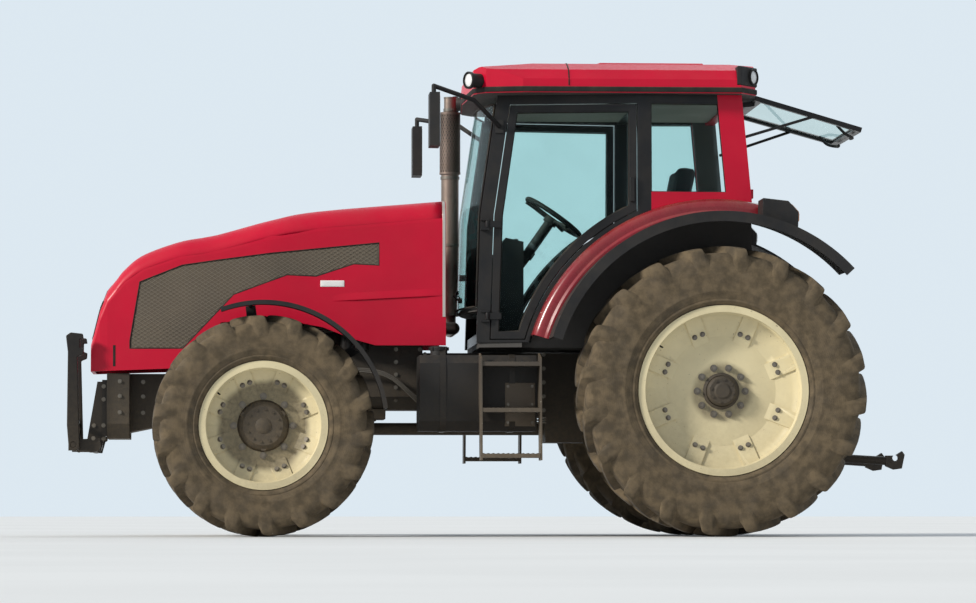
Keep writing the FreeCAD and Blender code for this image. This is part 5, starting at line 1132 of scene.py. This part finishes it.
def make_roof():
    left = [Vector((x, y, 0)) for x, y in ROOF_PLAN]
    ring = left + [Vector((p.x, -p.y, 0)) for p in reversed(left[1:-1])]
    # Black strip round the roof's lower edge: painted shade under the eaves.
    eaves_shade = Shape()
    rows = []
    for i, p in enumerate(ring):
        before, after = (p - ring[i - 1]).normalized(), (ring[(i + 1) % len(ring)] - p).normalized()
        out = Vector((-(before + after).y, (before + after).x, 0)).normalized()
        out = out / max(0.5, out.dot(Vector((-before.y, before.x, 0))))
        rows.append([at(*(p + out * r + Vector((0, 0, z)))) for r, z in EAVES_SHADE])
    eaves_shade.grid(rows, closed=True, ring=True)
    eaves_shade.made("roof_eaves_shade", "seal", smooth=30)
    seam = Shape()
    row = hits("roof", [(900, y, 3200) for y in range(-846, 847, 18)], (0, 0, -1))
    for sign in (1, -1):
        drop = hits("roof", [(900, sign * 1200, z) for z in range(2735, 2800, 16)], (0, -sign, 0))
        row = row + drop[::-1] if sign > 0 else drop + row
    seam.tube(row, 0.004, 8)
    seam.made("roof_seam", "seal", smooth=50)
    hatch = Shape()
    pad_on(hatch, "roof", (300, -290, 3200), (800, 290, 0), (0, 0, -1), 12.0)
    for y in (-560, 560):
        pad_on(hatch, "roof", (60, y - 90, 3200), (700, y + 90, 0), (0, 0, -1), 7.0)
    hatch.made("roof_panels", "red")
    vents = Shape()
    for z in range(2752, 2850, 17):
        row = hits("roof", [(-700, y, z) for y in range(-560, 561, 40)], (1, 0, 0))
        band(vents, row, (0, 0, 0.008), -0.008)
    vents.made("roof_vents", "seal", smooth=30, bevel=0.001)
    glow, rings = Shape(), Shape()
    axis = Vector((110, 70, 0)).normalized()
    middle = at(1435, 735, 2768)
    lens_disc(glow, middle + axis * 0.080, axis, 0.045, 0.010)
    rings.turned([(0.044, 0.074), (0.053, 0.076), (0.053, 0.090), (0.046, 0.094), (0.044, 0.074)], middle,
                 axis, 40)
    hit, normal = cast("rear_lamp_housings", (-700, 745, 2800), (1, 0, 0))
    lens_disc(glow, hit + normal * 0.002, normal, 0.042, 0.010)
    rings.turned([(0.041, -0.002), (0.050, 0.0), (0.050, 0.012), (0.043, 0.014), (0.041, -0.002)], hit,
                 normal, 40)
    glow.made("work_lamp_lens", "lens_clear", mirror="chassis")
    rings.made("work_lamp_ring", "plastic", mirror="chassis")
    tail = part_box("tail_lamps")
    low, high = tail[0][2] * 1000 + 45, tail[1][2] * 1000 - 35
    for name, y0, y1 in (("amber", 1052, 1118), ("red", 966, 1044), ("clear", 900, 958)):
        lamp = Shape()
        pad_on(lamp, "tail_lamps", (-900, y0, low), (0, y1, high), (1, 0, 0), 7.0, 5)
        lamp.made("tail_lens_" + name, "lens_" + name, mirror="chassis")
    wall = Shape()
    for y0, y1 in ((-560, -190), (-170, 170), (190, 560)):
        pad_on(wall, "cab_floor", (-900, y0, 1560), (0, y1, 1960), (1, 0, 0), 9.0)
    pad_on(wall, "cab_floor", (-900, -560, 1975), (0, 560, 2035), (1, 0, 0), 14.0)
    for y in (-420, 420):
        pad_on(wall, "cab_floor", (-900, y - 60, 1400), (0, y + 60, 1480), (1, 0, 0), 26.0, 4)
    wall.made("rear_wall_panels", "plastic")
    plate = Shape()
    pad_on(plate, "cab_floor", (-900, -260, 1390), (0, 260, 1500), (1, 0, 0), 6.0)
    plate.made("blank_plate", "white")
    mirror = Shape()
    pad_on(mirror, "mirrors", (1500, 1056, 2346), (0, 1244, 2634), (1, 0, 0), 3.0, 5)
    mirror.made("mirror_glass", "mirror", mirror="chassis")


def make_glazing():
    for name, node, towards, body, mirror in (
            ("door_seal", "door_glass_left", (-0.18, 1, 0.03), "door_left_leaf", "door_right_leaf"),
            ("quarter_seal", "side_windows", (0, 1, 0), "chassis", "chassis"),
            ("windscreen_seal", "windscreen", (1, 0, 0.1), "chassis", None),
            ("rear_window_seal", "rear_window_glass", (-0.27, 0, 0.96), "chassis", None)):
        seal = Shape()
        outline(seal, node, towards, 0.007)
        seal.made(name, "seal", body, smooth=60, mirror=mirror)
    wiper = Shape()

    def on_screen(y, z, lift):
        return cast("windscreen", (3000, y, z), (-1, 0, 0))[0] + Vector((lift, 0, 0))

    wiper.tube([on_screen(300, 1450, 0.004), on_screen(300, 1450, 0.030)], 0.016, 16)
    wiper.tube([on_screen(300, 1452, 0.026), on_screen(80, 1490, 0.024), on_screen(-150, 1500, 0.018)],
               0.006, 8)
    blade = [on_screen(y, 1500 + 0.02 * (y + 420), 0.007) for y in range(-420, 121, 45)]
    band(wiper, blade, (0, 0, 0.018), -0.008)
    wiper.made("wiper", "seal")
    handles = Shape()
    hit, _ = cast("door_left", (506, 1200, 1500), (0, -1, 0))
    if hit is None:
        hit = at(506, 812, 1500)
    out = Vector((0, 0.001, 0))
    handles.tube([hit + Vector((0, 0.0, -0.07)), hit + out * 34 + Vector((0, 0, -0.055)),
                  hit + out * 36 + Vector((0, 0, 0.05)), hit + Vector((0, 0.0, 0.07))], 0.009, 12)
    handles.turned([(0.0, 0.012), (0.014, 0.012), (0.017, 0.006), (0.017, -0.002)],
                   hit + Vector((0.0, 0, -0.105)), (0, 1, 0), 24)
    handles.made("door_handle", "plastic", "door_left_leaf", mirror="door_right_leaf")
    bar = Shape()
    for y in (-1, 1):
        bar.pipe(0.009, 12, (-800, 395 * y, 2540), (-850, 395 * y, 2490), (-905, 330 * y, 2470),
                 (-905, 250 * y, 2470))
    bar.made("rear_window_handle", "plastic", smooth=50)


def make_cabin():
    liner = Shape()
    rows = []
    for x in (-170, -150, 0, 300, 600, 900, 1150, 1225, 1240):
        row = []
        for y in (-590, -575, -400, -150, 150, 400, 575, 590):
            deep = 18 if x in (-170, 1240) or abs(y) == 590 else 0
            row.append(at(x, y, 2640 + deep + 8 * (1 - (y / 590) ** 2)))
        rows.append(row)
    liner.grid(rows)
    rows = [[p + Vector((0, 0, 0.016)) for p in row] for row in rows]
    liner.grid(rows)
    # The edge of a sheet of nine rows of eight points, once round.
    rim = [i * 8 for i in range(9)] + [64 + j for j in range(1, 8)] + [i * 8 + 7 for i in range(7, -1, -1)]
    rim += range(6, 0, -1)
    for a, b in zip(rim, rim[1:] + rim[:1]):
        liner.faces.append((a, b, b + 72, a + 72))
    liner.made("headliner", "liner")
    console = Shape()
    console.prism(line((240, -450, 1560), (240, -450, 1700), (420, -450, 1720), (640, -450, 1712),
                       (760, -450, 1650), (780, -450, 1560)), (0, 0.13, 0))
    console.prism(line((300, -450, 1250), (300, -450, 1565), (700, -450, 1565), (640, -450, 1250)),
                  (0, 0.10, 0))
    for y, x in ((-312, 640), (246, 600)):
        console.prism(line((330, y, 1752), (330, y, 1790), (x, y, 1790), (x + 25, y, 1772), (x, y, 1752)),
                      (0, 0.07, 0))
    console.made("side_console", "plastic", smooth=30, bevel=0.012, segments=3)
    levers = Shape()
    for x, y, lean in ((470, -420, 20), (520, -420, -12), (570, -420, 8), (620, -420, 26), (690, -360, 40)):
        levers.tube(line((x, y, 1705), (x + lean, y, 1790)), 0.006, 10)
        levers.turned([(0.0, 0.040), (0.012, 0.036), (0.016, 0.022), (0.011, 0.002), (0.0, 0.0)],
                      at(x + lean, y, 1785),
                      (lean / 85, 0, 1), 16)
    levers.pipe(0.012, 12, (300, -240, 1735), (280, -262, 1700), (250, -280, 1600))
    levers.pipe(0.012, 12, (330, -278, 1756), (280, -274, 1752), (255, -250, 1720))
    levers.pipe(0.012, 12, (330, 278, 1756), (280, 274, 1752), (255, 250, 1720))
    for y in (-150, -60, 90):
        levers.pipe(0.008, 10, (1210, y, 1250), (1150, y, 1275), (1110, y, 1330))
        levers.prism(line((1120, y - 38, 1318), (1120, y + 38, 1318), (1092, y + 38, 1385),
                          (1092, y - 38, 1385)),
                     (0.010, 0, 0.004))
    levers.made("levers", "seal")
    screen = Shape()
    screen.prism(line((1130, -560, 1760), (1130, -400, 1760), (1122, -400, 1880), (1122, -560, 1880)),
                 (0.032, 0, 0))
    screen.tube(line((1150, -480, 1820), (1235, -560, 1780), (1300, -640, 1780)), 0.010, 12)
    screen.made("monitor", "plastic", smooth=30, bevel=0.006)
    dial, rings = Shape(), Shape()
    for y, z, r in ((-55, 1775, 0.036), (55, 1775, 0.036), (0, 1742, 0.022)):
        hit, normal = cast("steering_column", (500, y, z), (1, 0, 0))
        if hit is not None:
            lens_disc(dial, hit + normal * 0.001, normal, r, 0.002)
            rings.turned([(r, -0.001), (r + 0.005, -0.001), (r + 0.004, 0.007), (r, 0.006), (r, -0.001)],
                         hit, normal, 28)
    dial.made("dial_faces", "white", slot="lamp_clear")
    rings.made("dial_rings", "seal")
    mat = Shape()
    for y in range(-230, 231, 20):
        ends = [cast("cab_floor", (x, y, 1800), (0, 0, -1))[0] for x in (740, 1180)]
        if all(p is not None and abs(p.z - ends[0].z) < 0.01 for p in ends):
            corners = ((0, -0.004), (0, 0.004), (1, 0.004), (1, -0.004))
            mat.prism([ends[i] + Vector((0, d, 0)) for i, d in corners], (0, 0, 0.004))
    mat.made("floor_mat", "seal", smooth=30)


def inflated(node, share, cap, seams):
    """Cushion blown up from its solid by cloth simulation, then drawn in along its seams."""
    low, high = (Vector(v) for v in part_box(node))
    middle = (low + high) / 2
    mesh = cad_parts[node].data.copy()
    for v in mesh.vertices:
        v.co = middle + (v.co - middle) * share
    raw = bpy.data.objects.new(node + "_raw", mesh)
    bpy.context.scene.collection.objects.link(raw)
    remesh = raw.modifiers.new("remesh", "REMESH")
    remesh.mode = "VOXEL"
    remesh.voxel_size = 0.006
    bpy.context.view_layer.update()
    base = bpy.data.meshes.new_from_object(raw.evaluated_get(bpy.context.evaluated_depsgraph_get()))
    bpy.data.objects.remove(raw)
    start = [v.co.copy() for v in base.vertices]
    obj = bpy.data.objects.new(node + "_cloth", base)
    bpy.context.scene.collection.objects.link(obj)
    settings = obj.modifiers.new("cloth", "CLOTH").settings
    settings.use_pressure = True
    settings.uniform_pressure_force = 4.0
    settings.effector_weights.gravity = 0.0
    for step in range(1, 21):
        bpy.context.scene.frame_set(step)
    puffed = bpy.data.meshes.new_from_object(obj.evaluated_get(bpy.context.evaluated_depsgraph_get()))
    moved = [v.co.copy() for v in puffed.vertices]
    bpy.data.objects.remove(obj)
    bpy.context.scene.frame_set(1)
    for vertex, before, after in zip(base.vertices, start, moved):
        step = after - before
        vertex.co = before + step * min(1.0, cap / max(step.length, 1e-6))
    bm = bmesh.new()
    bm.from_mesh(base)
    for _ in range(4):
        bmesh.ops.smooth_vert(bm, verts=bm.verts, factor=0.5, use_axis_x=True, use_axis_y=True,
                              use_axis_z=True)
    bm.normal_update()
    for vertex in bm.verts:
        depth = 0.0
        place = (vertex.co - ORIGIN) * 1000
        for axis, value, wide, deep, twin in seams:
            gap = (abs(place[axis]) if twin else place[axis]) - value
            depth += deep * math.exp(-(gap / wide) ** 2)
        vertex.co -= vertex.normal * depth / 1000
    bm.to_mesh(base)
    bm.free()
    for polygon in base.polygons:
        polygon.use_smooth = True
    obj = bpy.data.objects.new(node + "_pad", base)
    bpy.context.scene.collection.objects.link(obj)
    base.materials.clear()
    base.materials.append(M["fabric"])
    subdivide = obj.modifiers.new("subdivide", "SUBSURF")
    subdivide.levels = subdivide.render_levels = 1
    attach(obj, "chassis")
    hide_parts(node)
    return obj


def make_seat():
    inflated("seat_cushion", 0.95, 0.014, ((1, 130, 6, 7, True), (0, 560, 6, 6, False),
                                           (2, 1655, 4, 3, False)))
    inflated("seat_backrest", 0.95, 0.014, ((1, 120, 6, 7, True), (2, 2070, 9, 11, False),
                                            (2, 1800, 6, 5, False)))


# ---- camera, floor and lamps ----

def set_stage():
    camera_data = bpy.data.cameras.new("camera")
    camera = bpy.data.objects.new("camera", camera_data)
    bpy.context.scene.collection.objects.link(camera)
    camera.location = (1.624, 26.65, 0.16)
    aim = Vector((-0.03, 0.0, 1.46))
    camera.rotation_euler = (aim - camera.location).to_track_quat("-Z", "Y").to_euler()
    camera_data.lens = 158.0
    camera_data.clip_end = 400.0
    bpy.context.scene.camera = camera

    bpy.ops.mesh.primitive_plane_add(size=160.0, location=(0, 0, 0))
    floor = bpy.context.object
    floor.name = "floor"
    n = Nodes("floor")
    tone = n.mix(n.ramp(n.noise(0.35, 3.0), 0.3, 0.7), (0.70, 0.70, 0.68), (0.74, 0.74, 0.72))
    n.plug(n.shader.inputs["Base Color"], tone)
    n.plug(n.shader.inputs["Roughness"], 0.85)
    floor.data.materials.append(n.material)

    world = bpy.data.worlds.new("world")
    bpy.context.scene.world = world
    world.use_nodes = True
    n = Tree(world.node_tree)
    light = n.tree.nodes["Background"]
    n.plug(light.inputs["Color"], (0.80, 0.88, 1.0))
    n.plug(light.inputs["Strength"], 0.52)
    seen = n.make("ShaderNodeBackground", {"Color": (0.72, 0.81, 0.88)})
    path = n.make("ShaderNodeLightPath")
    bounced = n.math("MAXIMUM", path.outputs["Is Glossy Ray"], path.outputs["Is Transmission Ray"])
    direct = n.math("MAXIMUM", path.outputs["Is Camera Ray"], bounced)
    mixed = n.mix_shaders(direct, light, seen)
    n.plug(n.tree.nodes["World Output"].inputs["Surface"], mixed.outputs[0])

    view = bpy.context.scene.view_settings
    view.view_transform = "Standard"
    for name, towards, energy, angle, colour in (("key", (0.88, 0.40, 0.48), 3.5, 10.0, (1.0, 0.965, 0.90)),
                                                 ("fill", (-0.5, -1.0, 0.9), 0.5, 30.0, (0.9, 0.95, 1.0))):
        lamp = bpy.data.lights.new(name, "SUN")
        lamp.energy = energy
        lamp.angle = math.radians(angle)
        lamp.color = colour
        holder = bpy.data.objects.new(name, lamp)
        holder.rotation_euler = Vector(towards).to_track_quat("Z", "Y").to_euler()
        bpy.context.scene.collection.objects.link(holder)


set_stage()
dress_nodes()
for kind in TYRES:
    make_tyre(kind)
    make_wheel_details(kind)
make_hood()
make_engine()
make_chassis()
make_exhaust()
make_roof()
make_glazing()
make_cabin()
make_seat()
